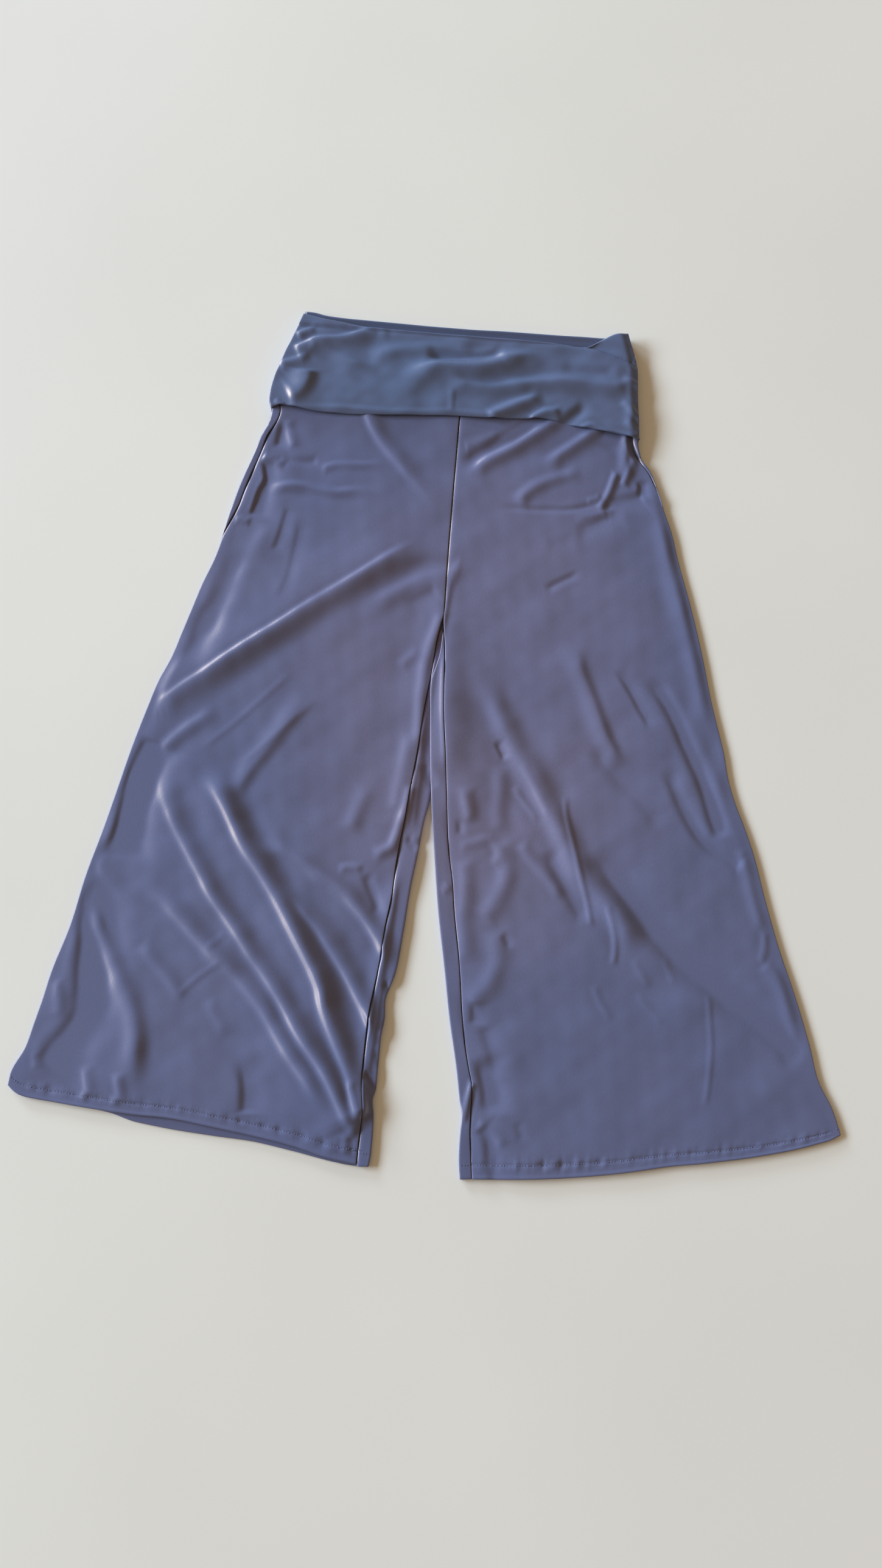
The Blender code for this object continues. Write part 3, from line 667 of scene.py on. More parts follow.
LEG_CREASES = LEFT_LEG_CREASES + RIGHT_LEG_CREASES
SIDE_CREASES = {"left": LEG_CREASES, "right": LEG_CREASES + INSEAM_RIDGE}
print(len(RIGHT_LEG_CREASES), "creases in the right leg's front")

# %% Soft hollows of the underside
HIDDEN_CREASES = (
    Crease((-60, 190, -96, 166, -140, 138, -196, 96, -232, 60), 1.6, 8, 14, (20, 30)),
    Crease((-40, 130, -74, 104, -118, 62, -150, 20), 1.2, 9, 13, (20, 30)),
    Crease((-240, -60, -214, -112, -180, -164, -140, -216, -112, -268, -86, -330), 1.8, 8, 15, (24, 24)),
    Crease((-280, -90, -246, -150, -206, -214, -150, -284, -96, -352), 1.4, 8, 12, (30, 20)),
    Crease((-336, -214, -312, -262, -296, -316, -290, -372), 1.2, 10, 13, (20, 20)),
    Crease((-180, 250, -120, 262, -60, 246), 1.2, 8, 12, (20, 24)),
    Crease((150, 262, 100, 254, 48, 236, 10, 206), 1.3, 9, 12, (16, 24)),
    Crease((24, 60, 60, 0, 96, -70, 140, -140, 196, -206), 1.6, 9, 15, (24, 30)),
    Crease((212, 60, 236, -4, 262, -70, 286, -130), 1.2, 9, 12, (20, 24)),
    Crease((120, -110, 176, -172, 240, -226, 322, -280), 1.5, 9, 16, (24, 24)),
    Crease((44, -150, 62, -220, 60, -300, 74, -380), 1.3, 9, 12, (20, 20)),
    Crease((-170, 330, -110, 352, -40, 362, 40, 356), 1.3, 10, 13, (16, 24)),
    Crease((60, 330, 96, 346, 140, 352), 1.0, 8, 10, (10, 10)),
    Crease((-120, 384, -20, 392, 80, 386), 1.0, 9, 11, (20, 20)),
)
print(len(HIDDEN_CREASES), "hollows, where the back lies on the floor")

# %% [markdown]
# ## The legs
#
# A flat trouser leg is a flattened tube of two panels. It could be one mesh with a seam drawn on
# it, but a maker sews it from panels, so each is a piece of its own. The table says where the
# leg's layers run, row by row from the waist seam to the hem, and the outlines say how wide it
# is at each height. Every panel reads the same sizes, so their edges meet.

# %% Sizes of the cloth
WALL = 0.75  # one layer of jersey
SEAM_GAP = 0.7  # between two edges that a seam joins
SEAM_DIP = (0.15, 1.0)  # how deep the seam pulls in the edge to its left and the one to its right
SEAM_REACH = 1.2  # how far from the seam the pull is felt
INNER_RING, OUTER_RING = 1.3, 5.3  # radii of the band's upstand and of its flap, at their ends
TOP_FOLD = (OUTER_RING - INNER_RING) / 2
BAND_MIDDLE = 6.3  # height of the ring's middle above the floor
WAIST_SEAM_Y = 336.0
LOW = WALL / 2 + 0.05  # height of a layer's middle where it lies on the floor,
HIGH = BAND_MIDDLE - INNER_RING  # and where the back layer hangs from the band
CROTCH = 231  # how far below the waist seam it lies
EDGE_LEAN = 0.12  # a folded edge is this much narrower than a half circle
LIFT_START, LIFT_END = 80.0, 18.0  # from the inner line: where the lifted fold starts and is up

# %% Sizes of the legs
# `under` is the height of the back layer's middle, and the `top` heights are the front layer's,
# at the outer edge, halfway and at the inner edge. `curl` is 1 where the back wraps up over the
# inner fold. Each side has the y of its outer and inner edge, how far its side seam is rolled
# up over the outer edge, and how far its inner fold lifts off the floor.
Row = namedtuple("Row", "along curl under top_outer top_mid top_inner left right")
Side = namedtuple("Side", "outer_y inner_y roll lift")
LEG_ROWS = (
    Row(0, 0, HIGH, 7.6, 7.6, 7.6, Side(336, 336, 0, 0), Side(336, 336, 0, 0)),
    Row(28, 0, HIGH, 7.4, 7.4, 7.2, Side(308, 308, 10, 0), Side(308, 308, 10, 0)),
    Row(52, 0, LOW, 5, 5.2, 5.2, Side(284, 284, 9, 0), Side(284, 284, 7, 0)),
    Row(125, 0, LOW, 3.6, 4.6, 4.4, Side(210, 211, 8.6, 0), Side(211, 211, 0, 0)),
    Row(180, 0, LOW, 3, 4.2, 3.8, Side(157, 156, 0, 0), Side(157, 156, 0, 0)),
    Row(231, 0, LOW, 3, 4.2, 2.3, Side(105, 105, 0, 0), Side(105, 105, 0, 0)),
    Row(251, 1, LOW, 3, 4.2, 2.4, Side(86, 85, 0, 0), Side(86, 85, 0, 1)),
    Row(270, 1, LOW, 3, 4.2, 2.4, Side(66, 66, 0, 0), Side(66, 66, 0, 2.2)),
    Row(300, 1, LOW, 3, 4.2, 2.4, Side(36, 36, 0, 0), Side(36, 36, 0, 3.5)),
    Row(375, 1, LOW, 3, 4.2, 2.4, Side(-40, -42, 0, 0), Side(-40, -40, 0, 4.4)),
    Row(415, 1, LOW, 3, 4.2, 2.4, Side(-80, -81, 0, 0), Side(-80, -80, 0, 4.4)),
    Row(465, 1, LOW, 3, 4.2, 4, Side(-132, -137, 0, 0), Side(-130, -133, 0, 0)),
    Row(555, 1, LOW, 3, 4.2, 4, Side(-220, -229, 0, 0), Side(-222, -226, 0, 0)),
    Row(645, 1, LOW, 3, 4.2, 4, Side(-301, -315, 0, 0), Side(-304, -311, 0, 0)),
    Row(766, 1, LOW, 3, 3.8, 3.6, Side(-383, -427, 0, 0), Side(-361, -431, 0, 0)),
)
END = LEG_ROWS[-1].along

# Outlines as y and x in turn: the outer edge, the centre seam and inseam, and the inner fold.
OUTER_EDGE = {
    "left": (
        -383, -388, -372, -387, -349, -377, -326, -372, -302, -367, -279, -363, -232, -351, -184, -343,
        -136, -332, -87, -322, -62, -317, -12, -305, 14, -298, 40, -288, 66, -281, 92, -274, 118, -267,
        145, -258, 198, -247, 225, -241, 239, -237, 266, -229, 280, -225, 294, -219, 308, -216.5, 336, -217,
    ),
    "right": (
        -361, 388, -338, 379, -317, 367, -284, 357, -240, 342, -196, 325, -151, 310, -105, 296, -82, 287,
        -59, 277, -35, 269, -11, 264, 13, 257, 37, 250, 86, 238, 136, 224, 186, 208, 211, 201, 237, 191,
        262, 182, 275, 176, 288, 166, 301, 161, 308, 160, 336, 156,
    ),
}
INSEAM = {
    "left": (
        -427, -56.5, -402, -56, -382, -55, -347, -59, -292, -58, -246, -53, -204, -50, -179, -47, -152, -46,
        -126, -44, -100, -41, -72, -39, -43, -36, 14, -32, 48, -28.5, 80, -26, 100, -22.8, 105, -21.7,
    ),
    "right": (
        -431, 51, -408, 48, -392, 46, -370, 45, -348, 44, -333, 40, -309, 34, -286, 30, -237, 23, -188, 14,
        -155, 9, -132, 4, -94, -1, -41, -7, 7, -13, 40, -15.5, 74, -18, 95, -20.6, 105, -21.4,
    ),
}
INNER_LINE = {
    "left": (
        -427, -45, -416, -44, -381, -45, -368, -47, -357, -45, -313, -45, -292, -43, -278, -44, -251, -37,
        -212, -33, -169, -30, -135, -26, -101, -22.6, -81, -19.4, -42, -18.5, 36, -19.5, 66, -20.5,
        85, -21.3, 105, -21.5, 156, -22.8, 211, -23.4, 336, -24,
    ),
    "right": (
        -431, 40, -417, 38, -391, 37, -377, 37.5, -361, 34, -335, 29, -287, 18, -240, 9, -190, -1,
        -133, -10, -106, -14, -80, -17.4, -31, -22.8, 6, -26, 36, -28, 50, -25, 66, -21.8, 85, -21.1,
        105, -21.5, 156, -22.8, 211, -23.4, 336, -24,
    ),
}
HemPoint = namedtuple("HemPoint", "across left_front left_back right_front right_back")
HEM_DROP = (  # how far the hem hangs below the straight line between its ends
    HemPoint(0.00, 0.0, 0.0, 0.0, 0.0),
    HemPoint(0.02, 4.6, 4.2, 3.0, 2.5),
    HemPoint(0.06, 7.2, 6.2, 5.6, 5.0),
    HemPoint(0.13, 6.2, 5.8, 8.7, 8.0),
    HemPoint(0.21, 4.9, 4.6, 10.5, 9.6),
    HemPoint(0.28, 3.4, 4.4, 11.2, 10.2),
    HemPoint(0.36, 1.0, 7.4, 11.2, 10.2),
    HemPoint(0.45, -2.6, 6.8, 10.4, 9.5),
    HemPoint(0.57, -3.6, 4.2, 11.3, 10.3),
    HemPoint(0.70, -3.9, 1.0, 10.2, 9.2),
    HemPoint(0.80, -2.8, 1.6, 7.8, 7.0),
    HemPoint(0.90, 0.4, 2.9, 4.1, 3.6),
    HemPoint(0.97, 0.4, 1.9, 1.0, 0.8),
    HemPoint(1.00, 0.0, 0.0, 0.0, 0.0),
)
HEM_REACH = 60  # how far up the leg the hem's drop is felt
HEM_TURNED = 12.5  # width of the turned-up hem
HEM_RADIUS = 0.5  # of the cloth's middle, where the hem turns


# %% Reading a leg's sizes
def leg_column(values, along):
    """One column of the legs' table at each station. The hip and the leg are read apart, because
    the seams turn a corner at the crotch."""
    stops = np.array([row.along for row in LEG_ROWS], float)
    values = np.array(values, float)
    hip, leg = stops <= CROTCH, stops >= CROTCH
    above = smooth(along, stops[hip], values[hip])
    below = smooth(along, stops[leg], values[leg])
    return np.where(along <= CROTCH, above, below)[:, None]


def line_at(line, y):
    """x of an outline at each y."""
    stops = np.reshape(np.array(line, float), (-1, 2))
    return smooth(y, stops[:, 0], stops[:, 1])


def round_edge(arc, radius):
    """A layer at a rounded edge, `arc` from the edge's middle, over it (+) or under it (-):
    how far in from the edge it is, and how high above the edge's middle."""
    turn = np.clip(arc / radius, -np.pi / 2, np.pi / 2)
    flat = np.maximum(np.abs(arc) - radius * np.pi / 2, 0)
    return EDGE_LEAN * radius * (1 - np.cos(turn)) + flat, radius * np.sin(turn)


class Leg:
    """One leg's form at a set of stations along it."""

    def __init__(self, side, along):
        self.side = side
        self.along = along[:, None]
        for name in Row._fields[1:-2]:
            setattr(self, name, leg_column([getattr(row, name) for row in LEG_ROWS], along))
        for name in Side._fields:
            values = [getattr(getattr(row, side), name) for row in LEG_ROWS]
            setattr(self, name, leg_column(values, along))
        self.outer_x = line_at(OUTER_EDGE[side], self.outer_y)
        self.inner_x = line_at(INNER_LINE[side], self.inner_y)
        inset = np.abs(line_at(INSEAM[side], self.inner_y) - self.inner_x)
        self.inset = np.where(self.along > CROTCH, inset, 0)
        self.width = np.hypot(self.inner_x - self.outer_x, self.inner_y - self.outer_y)
        self.outer_radius = (self.top_outer - self.under) / 2
        self.inner_radius = (self.top_inner - self.under) / 2

    def place(self, inward, height, layer):
        """Points `inward` from the outer edge on each row's line, with the hem's drop and the
        lift of the inner fold."""
        share = np.clip(inward / self.width, 0, 1)
        x = mix(self.outer_x, self.inner_x, inward / self.width)
        y = mix(self.outer_y, self.inner_y, inward / self.width)
        drop = [getattr(point, f"{self.side}_{layer}") for point in HEM_DROP]
        near_hem = ramp(self.along, self.along.max() - HEM_REACH, self.along.max())
        y = y - near_hem * smooth(share, [point.across for point in HEM_DROP], drop)
        lifted = self.lift * ramp(inward, self.width - LIFT_START, self.width - LIFT_END)
        return x, y, height + lifted

    def top(self, share):
        """Height of the front layer across the leg, outer edge (0) to inner edge (1)."""
        straight = mix(self.top_outer, self.top_inner, share)
        dip = self.top_mid - (self.top_outer + self.top_inner) / 2
        return straight + dip * 4 * share * (1 - share)


def seam_dip(distance, edge):
    """How far a seam pulls the cloth in, `distance` from it, left (0) or right (1) of it."""
    return SEAM_DIP[edge] * np.exp(-np.maximum(distance, 0) / SEAM_REACH)


def turn_hem(points, uv, normal, turned, radius):
    """A grid with its last row turned in and up: a half circle of rows, then rows that lie
    inside the last ones, against the normals of the plain cloth."""
    last = points[-1]
    tangent = unit(points[-1] - points[-2])
    rows, marks = [], []
    for angle in np.radians([36, 72, 108, 144, 180]):
        round_it = tangent * radius * np.sin(angle) - normal[-1] * radius * (1 - np.cos(angle))
        rows.append(last + round_it)
        marks.append(uv[-1] + [0, radius * angle])
    length = np.linalg.norm(points[-1] - points[:-1], axis=2).mean(axis=1)
    for far in np.linspace(2.5, turned, 5):
        row = len(length) - 1 - int(np.argmin(np.abs(length[::-1] - far)))
        rows.append(points[row] - normal[row] * 2 * radius)
        marks.append(uv[-1] + [0, radius * np.pi + length[row]])
    return np.concatenate([points, rows]), np.concatenate([uv, marks])


def facing_out(points, uv, normal, flip):
    """The same grid with its columns in reverse where flip says so, so that it faces outwards."""
    return (points[:, ::-1], uv[:, ::-1], -normal[:, ::-1]) if flip else (points, uv, normal)


for side in ("left", "right"):
    at_ends = Leg(side, np.array([0.0, END])).width.ravel().round()
    print(side, "leg is", at_ends, "mm wide at the waist seam and at the hem")


# %% [markdown]
# ## Front leg panels
#
# Each front panel runs over the leg's rounded outer edge, across its front and down to the centre
# seam or the inseam. A bump in its material could draw the creases, but they cast shadows and
# shape the lit edge, so they are in the mesh. They are one height field over the whole garment,
# so they run on across the seams.

# %% The stitched hem
HEM_FINE = 24.0  # the last rows are closer, for the stitched hem
HEM_STITCH = 12.2  # stitch line's distance from the hem's edge
CHANNEL_DEPTH, CHANNEL_WIDTH = 0.38, 1.6  # along the stitches
BEAD_HEIGHT, BEAD_WIDTH, BEAD_PLACE = 0.45, 2.0, 0.6  # along the edge, and how far in it lies
PUCKER_HEIGHT, PUCKER_REACH = 0.2, 7.0  # of the short puckers, across the stitches
TIGHT_HEIGHT, TIGHT_REACH, TIGHT_WIDTH = 4.6, 5.0, 3.4  # of the table's, in short puckers
PUCKERS = (  # pulled in (-) and stood up (+) where the stitches are tight, as (x, height)
    (-348, -1.5), (-302, -0.6), (-266, -0.5), (-168, -1.2), (-146, -1.1), (-131, -1.0), (-107, -0.9),
    (-88, -0.8), (-366, 0.8), (-315, 0.9), (-286, 0.9), (-225, 0.6), (-196, 0.5), (-70, 1.0), (115, -1.2),
    (134, -1.1), (167, -1.0), (206, -0.5), (252, -0.6), (296, -0.6), (330, -0.6), (92, 0.8), (125, 0.8),
    (147, 0.8), (172, 0.7), (235, 0.7), (315, 0.7), (340, 0.7),
)


def stations(step, fine_step):
    """Distances from the waist seam of a panel's rows, closer together by the hem."""
    coarse = np.linspace(0, END - HEM_FINE, int((END - HEM_FINE) / step) + 1)
    fine = np.linspace(END - HEM_FINE, END, int(HEM_FINE / fine_step) + 1)
    return np.concatenate([coarse, fine[1:]])


def hem_relief(along_hem, from_hem, seed):
    """The stitched hem: a shallow channel along the stitches, short uneven puckers across them
    and the few larger ones of the table, and a bead along the edge, where the cloth turns."""
    from_stitch = from_hem - HEM_STITCH
    level = 0 * along_hem
    pucker = ripple(along_hem, level, 13, seed, 8) + 0.6 * ripple(along_hem, level, 6, seed + 1, 8)
    for x, height in PUCKERS:
        tight = bell(from_stitch, TIGHT_REACH) * bell(along_hem - x, TIGHT_WIDTH)
        pucker = pucker + TIGHT_HEIGHT * height * tight
    channel = -CHANNEL_DEPTH * bell(from_stitch, CHANNEL_WIDTH)
    bead = BEAD_HEIGHT * bell(from_hem - BEAD_PLACE, BEAD_WIDTH)
    return channel + PUCKER_HEIGHT * pucker * bell(from_stitch, PUCKER_REACH) + bead


# %% Front leg panels
FRONT_STEPS = 2.1, 1.0  # rows apart down the leg, and by the hem
EDGE_COLUMNS = 7
FLAT_COLUMNS = 171
FROM_SEAM = np.array([4.5, 3.3, 2.4, 1.7, 1.1, 0.6, 0.25, 0.0])  # the last columns, closer together
OVER_EDGE = 2.0  # the edge's columns go on this far past its quarter circle
CLEAR = 13  # creases die out this far from the outer edge, which the back panel meets
NEAR_HEM, CALM = 26, 0.55  # and calm down to this share, this near the stiffer hem
AIR = 0.9  # the front layer never sinks closer than this to the back layer,
AIR_FROM = 7  # this far in from the outer edge,
SOFT_STOP = 3  # and this is how suddenly it stops there, per mm
FRONT_RIPPLES = (0.3, 62, 11), (0.07, 22, 12)
INSEAM_SINKS = ((0.35, 5.0), (0.25, 0.8))  # depth and reach of the right inseam's sunk edge


def front_panel(side, creases):
    """The front panel's middle points and their place on the flat cut: a quarter circle up from
    the side seam, then the front layer's height plus the creases and the hem's relief."""
    along = stations(*FRONT_STEPS)
    leg = Leg(side, along)
    half_gap = (SEAM_GAP + WALL) / 2
    start = leg.roll + half_gap
    quarter = leg.outer_radius * np.pi / 2
    arc = start + np.linspace(0, 1, EDGE_COLUMNS) * (np.maximum(quarter - start, 0) + OVER_EDGE)
    inward, rise = round_edge(arc, leg.outer_radius)
    stop = leg.width - leg.inset - half_gap
    shares = np.arange(1, FLAT_COLUMNS + 1) / FLAT_COLUMNS
    middle = mix(inward[:, -1:], stop - FROM_SEAM[0], shares)
    inward = np.hstack([inward, middle, stop - FROM_SEAM[1:]])
    beyond = inward[:, EDGE_COLUMNS:]
    rise = np.hstack([rise, leg.outer_radius * np.ones(beyond.shape)])
    arc = np.hstack([arc, arc[:, -1:] + beyond - inward[:, EDGE_COLUMNS - 1 : EDGE_COLUMNS]])
    height = leg.top(inward / leg.width) + rise - leg.outer_radius
    x, y, height = leg.place(inward, height, "front")
    relief = crease_height(x, y, creases) + unevenness(x, y, FRONT_RIPPLES)
    from_hem = leg.along.max() - leg.along
    relief = relief * mix(CALM, 1, ramp(from_hem, 0, NEAR_HEM))
    relief += hem_relief(x, np.broadcast_to(from_hem, x.shape), 21 + len(side))
    height = height + ramp(inward, 0, CLEAR) * ramp(leg.along, 6, 22) * relief
    lowest = leg.under + WALL + AIR
    held_up = lowest + np.logaddexp(0, (height - lowest) * SOFT_STOP) / SOFT_STOP
    height = np.where(inward > AIR_FROM, held_up, height)
    points = np.stack([x, y, height], axis=2)

    right_leg = int(side == "right")
    from_inner = np.maximum(stop - inward, 0)
    dip = seam_dip(from_inner, right_leg)
    if right_leg:  # its strip lies over the panel's edge, so the panel sinks over a few millimetres
        sunk = sum(depth * np.exp(-from_inner / reach) for depth, reach in INSEAM_SINKS)
        dip = mix(dip, sunk, ramp(leg.along, CROTCH - 10, CROTCH + 20))
    dip = dip + seam_dip(arc - start, 1 - right_leg) * ramp(leg.along, 10, 20)
    normal = grid_normals(points)
    points -= normal * (dip * (-1 if right_leg else 1))[..., None]
    uv = np.stack([inward, np.broadcast_to(leg.along, inward.shape)], axis=2)
    points, uv, normal = facing_out(points, uv, normal, flip=side == "right")
    return odd_grid(*turn_hem(points, uv, normal, HEM_TURNED, HEM_RADIUS))


pieces, grids = {}, {}
for side in ("left", "right"):
    name = f"leg_front_{side}"
    grids[name] = front_panel(side, SIDE_CREASES[side])
    pieces[name] = shell(name, *grids[name], WALL, jersey)

# %% [markdown]
# ## Back leg panels
#
# The back panels lie on the floor. Each wraps up round the leg's edges: over the outer edge at the
# hip, and over the inner fold below the crotch, where a strip of it shows beside the inseam. One
# grid follows the cloth all the way round, so the folds stay smooth where they turn.

# %% Back leg panels
BACK_STEPS = 2.9, 2.0
EDGE, FLAT, TURN, WRAP = 13, 61, 10, 12  # columns round the outer edge, across, and up the strip
STRIP = EDGE + FLAT
HIP_STRIP = 12.0  # the last columns of the flat part above the crotch
INNER_LEAN = 0.15  # the inner fold is this much narrower than a half circle
HOLLOW = 0.9  # the floor layer's hollows are never deeper
HOLLOW_RIPPLES = ((0.4, 70, 33),)
BACK_RIPPLES = ((0.3, 40, 31),)


def back_panel(side, creases):
    """The back panel's middle points: from the side seam round and under the outer edge, across
    the flat, and up over the inner fold to the inseam."""
    leg = Leg(side, stations(*BACK_STEPS))
    half_gap = (SEAM_GAP + WALL) / 2
    start = leg.roll - half_gap
    edge_arc = mix(start, -leg.outer_radius * np.pi / 2 - OVER_EDGE, np.linspace(0, 1, EDGE))
    edge_in, edge_rise = round_edge(edge_arc, leg.outer_radius)
    turn = leg.curl * np.pi
    arc = leg.inner_radius * turn
    bulge = INNER_LEAN * leg.inner_radius
    leaves = leg.width - bulge * np.sin(np.minimum(turn, np.pi / 2))
    leaves = leaves - (1 - leg.curl) * half_gap
    wrap = np.maximum(leg.inset - bulge - half_gap, 0) * leg.curl
    steps = np.arange(TURN + WRAP + 1)
    in_turn = np.clip(steps / TURN, 0, 1)
    in_wrap = np.clip((steps - TURN) / WRAP, 0, 1) ** 0.8
    flat_strip = mix(-HIP_STRIP, 0, steps / steps.max())
    length = mix(flat_strip, arc * in_turn + wrap * in_wrap, leg.curl)
    angle = np.clip(length, 0, arc) / leg.inner_radius
    beyond = np.maximum(length - arc, 0)
    strip_in = leaves + bulge * np.sin(angle) + np.cos(turn) * beyond + np.minimum(length, 0)
    strip_rise = leg.inner_radius * (1 - np.cos(angle)) + np.sin(turn) * beyond
    flat_in = mix(edge_in[:, -1:], strip_in[:, :1], np.arange(1, FLAT + 1) / (FLAT + 1))
    no_edge, no_flat, no_strip = 0 * edge_in, 0 * flat_in, 0 * strip_rise
    inward = np.hstack([edge_in, flat_in, strip_in])
    rise = np.hstack([leg.outer_radius + edge_rise, no_flat, strip_rise])
    x, y, height = leg.place(inward, leg.under + rise, "back")

    number = np.arange(inward.shape[1])
    on_strip = number > STRIP
    upper = ramp(rise, 0.9 * leg.inner_radius, 2 * leg.inner_radius) * on_strip
    upper_outer = np.hstack([ramp(edge_rise, 0, leg.outer_radius), no_flat, no_strip])
    relief = crease_height(x, y, creases) + unevenness(x, y, BACK_RIPPLES)
    to_seam = wrap - np.hstack([no_edge, no_flat, beyond])
    follow = 0.5 + 0.5 * bell(to_seam, 3.5)  # at the seam the strip rises with the front panel
    height = height + np.maximum(upper * ramp(leg.along, 240, 270), upper_outer) * relief * follow
    flat = (number > EDGE + 1) & (number < STRIP - 2)
    hollow = np.maximum(crease_height(x, y, HIDDEN_CREASES), 0)
    hollow = np.maximum(unevenness(x, y, HOLLOW_RIPPLES), 0) + hollow
    off_edges = flat * ramp(inward, 8, 26) * ramp(leg.width - inward, 10, 30)
    height += off_edges * HOLLOW * np.tanh(hollow / HOLLOW)
    points = np.stack([x, y, height], axis=2)

    from_side_seam = start - np.hstack([edge_arc, no_flat, no_strip])
    distance = np.where(number < EDGE, from_side_seam, np.where(on_strip, to_seam, 99))
    inner_dip = seam_dip(distance, int(side == "left")) * ramp(leg.along, 236, 260)
    outer_dip = seam_dip(distance, int(side == "right")) * ramp(leg.roll, 1, 5)
    dip = np.where(on_strip, inner_dip, outer_dip)
    normal = grid_normals(points)
    points += normal * (dip * (1 if side == "left" else -1))[..., None]
    uv = np.stack([inward + 500, np.broadcast_to(leg.along, inward.shape)], axis=2)
    points, uv, normal = facing_out(points, uv, normal, flip=side == "left")
    return odd_grid(*turn_hem(points, uv, normal, HEM_TURNED, HEM_RADIUS))


for side in ("left", "right"):
    name = f"leg_back_{side}"
    grids[name] = back_panel(side, SIDE_CREASES[side])
    pieces[name] = shell(name, *grids[name], WALL, jersey)

# %% [markdown]
# ## Hem stitches
#
# Each hem is turned up once and sewn from outside with one row of stitches in matching thread.
# They pull the soft cloth into small uneven puckers, and the thread ends in a knot by the inseam.
# A line drawn in the material would be flat, so each stitch is a short loop of thread.

# %% Stitch loops
STITCH_PITCH = 2.8
STITCH_LENGTH = 2.1
STITCH_SIZES = 0.7, 1.15  # the shortest and the longest, beside that length
STITCH_SINKS = -0.3, 0.35  # how deep a stitch is pulled in, where this is above zero
THREAD_RADIUS = 0.42
THREAD_TURN = np.linspace(0, 2 * np.pi, 6, endpoint=False)
KNOT_STITCHES = 8  # of the left hem, laid again at odd angles over its last ones


def stitch_places(centres, tangents, normals):
    """Points of short thread loops: rings along each stitch, thickest in its middle, where it
    stands a little proud of the cloth, and sunk at its ends."""
    rng = np.random.default_rng(13)
    size = rng.uniform(*STITCH_SIZES, (len(centres), 1, 1))
    sunk = np.maximum(rng.uniform(*STITCH_SINKS, (len(centres), 1, 1)), 0)
    t = np.linspace(-1, 1, 7)[None, :, None]
    ring = THREAD_RADIUS * np.sqrt(1 - 0.94 * t**2)
    line = centres[:, None] + tangents[:, None] * t * size * STITCH_LENGTH / 2
    line = line + normals[:, None] * (WALL / 2 + 0.1 - sunk - 0.5 * t**2)
    sideways = np.cross(normals, tangents)[:, None, None] * np.cos(THREAD_TURN)[:, None]
    outwards = normals[:, None, None] * np.sin(THREAD_TURN)[:, None]
    return line[:, :, None] + (sideways + outwards) * ring[..., None]


def hem_line(points, uv):
    """Stitches along a panel's hem: centres a pitch apart, with the way along and the normal."""
    row = np.abs(uv[:, uv.shape[1] // 2, 1] - (END - HEM_STITCH)).argmin()
    normals = grid_normals(points)[row]
    keep = normals[:, 2] > 0.6
    line, normals = points[row][keep], normals[keep]
    length = np.concatenate([[0], np.cumsum(np.linalg.norm(np.diff(line, axis=0), axis=1))])
    at = np.arange(1.6, length[-1] - 1.4, STITCH_PITCH)
    at = at + np.random.default_rng(5).uniform(-0.5, 0.5, len(at))
    centres, normals = (
        np.stack([np.interp(at, length, axis) for axis in values.T], axis=1) for values in (line, normals)
    )
    return centres, unit(np.gradient(centres, axis=0)), unit(normals)


def stitches(name, lines):
    """One piece of all the stitches on these lines."""
    centres, tangents, normals = (np.concatenate(values) for values in zip(*lines))
    places = stitch_places(centres, tangents, normals)
    count, rings, sides = places.shape[:3]
    first = np.arange(count)[:, None, None] * rings * sides
    ring = first + np.arange(rings - 1)[None, :, None] * sides
    side, following = np.arange(sides), (np.arange(sides) + 1) % sides
    corners = [ring + side, ring + following, ring + sides + following, ring + sides + side]
    tube = np.stack(corners, axis=3)
    caps = np.concatenate([first[:, 0] + side[::-1], first[:, 0] + (rings - 1) * sides + side])
    return make_piece(name, places.reshape(-1, 3), [tube.reshape(-1, 4), caps], thread)


# %% Stitches of both hems
for side in ("left", "right"):
    lines = [hem_line(*grids[f"leg_{layer}_{side}"]) for layer in ("front", "back")]
    if side == "left":
        centres, tangents, normals = (values[-KNOT_STITCHES:] for values in lines[0])
        rng = np.random.default_rng(9)
        centres = centres + rng.uniform(-0.9, 0.9, centres.shape) * [1.5, 1, 0] + [3, 0, 0.25]
        turned = tangents + rng.uniform(-0.8, 0.8, tangents.shape) * [1, 1, 0]
        lines.append((centres, unit(turned), normals))
    pieces[f"hem_stitches_{side}"] = stitches(f"hem_stitches_{side}", lines)

# %% [markdown]
# ## Waistband
#
# The waistband is a tube of doubled jersey. It stands up from the waist seam, folds over at the
# top and hangs down outside itself as a deep flap, so a section of it is a hook. A flat flap laid
# on the legs would have no roll at its top, so each half follows the hook in one grid, round a
# flattened ring whose folded ends lie at the band's left and right.

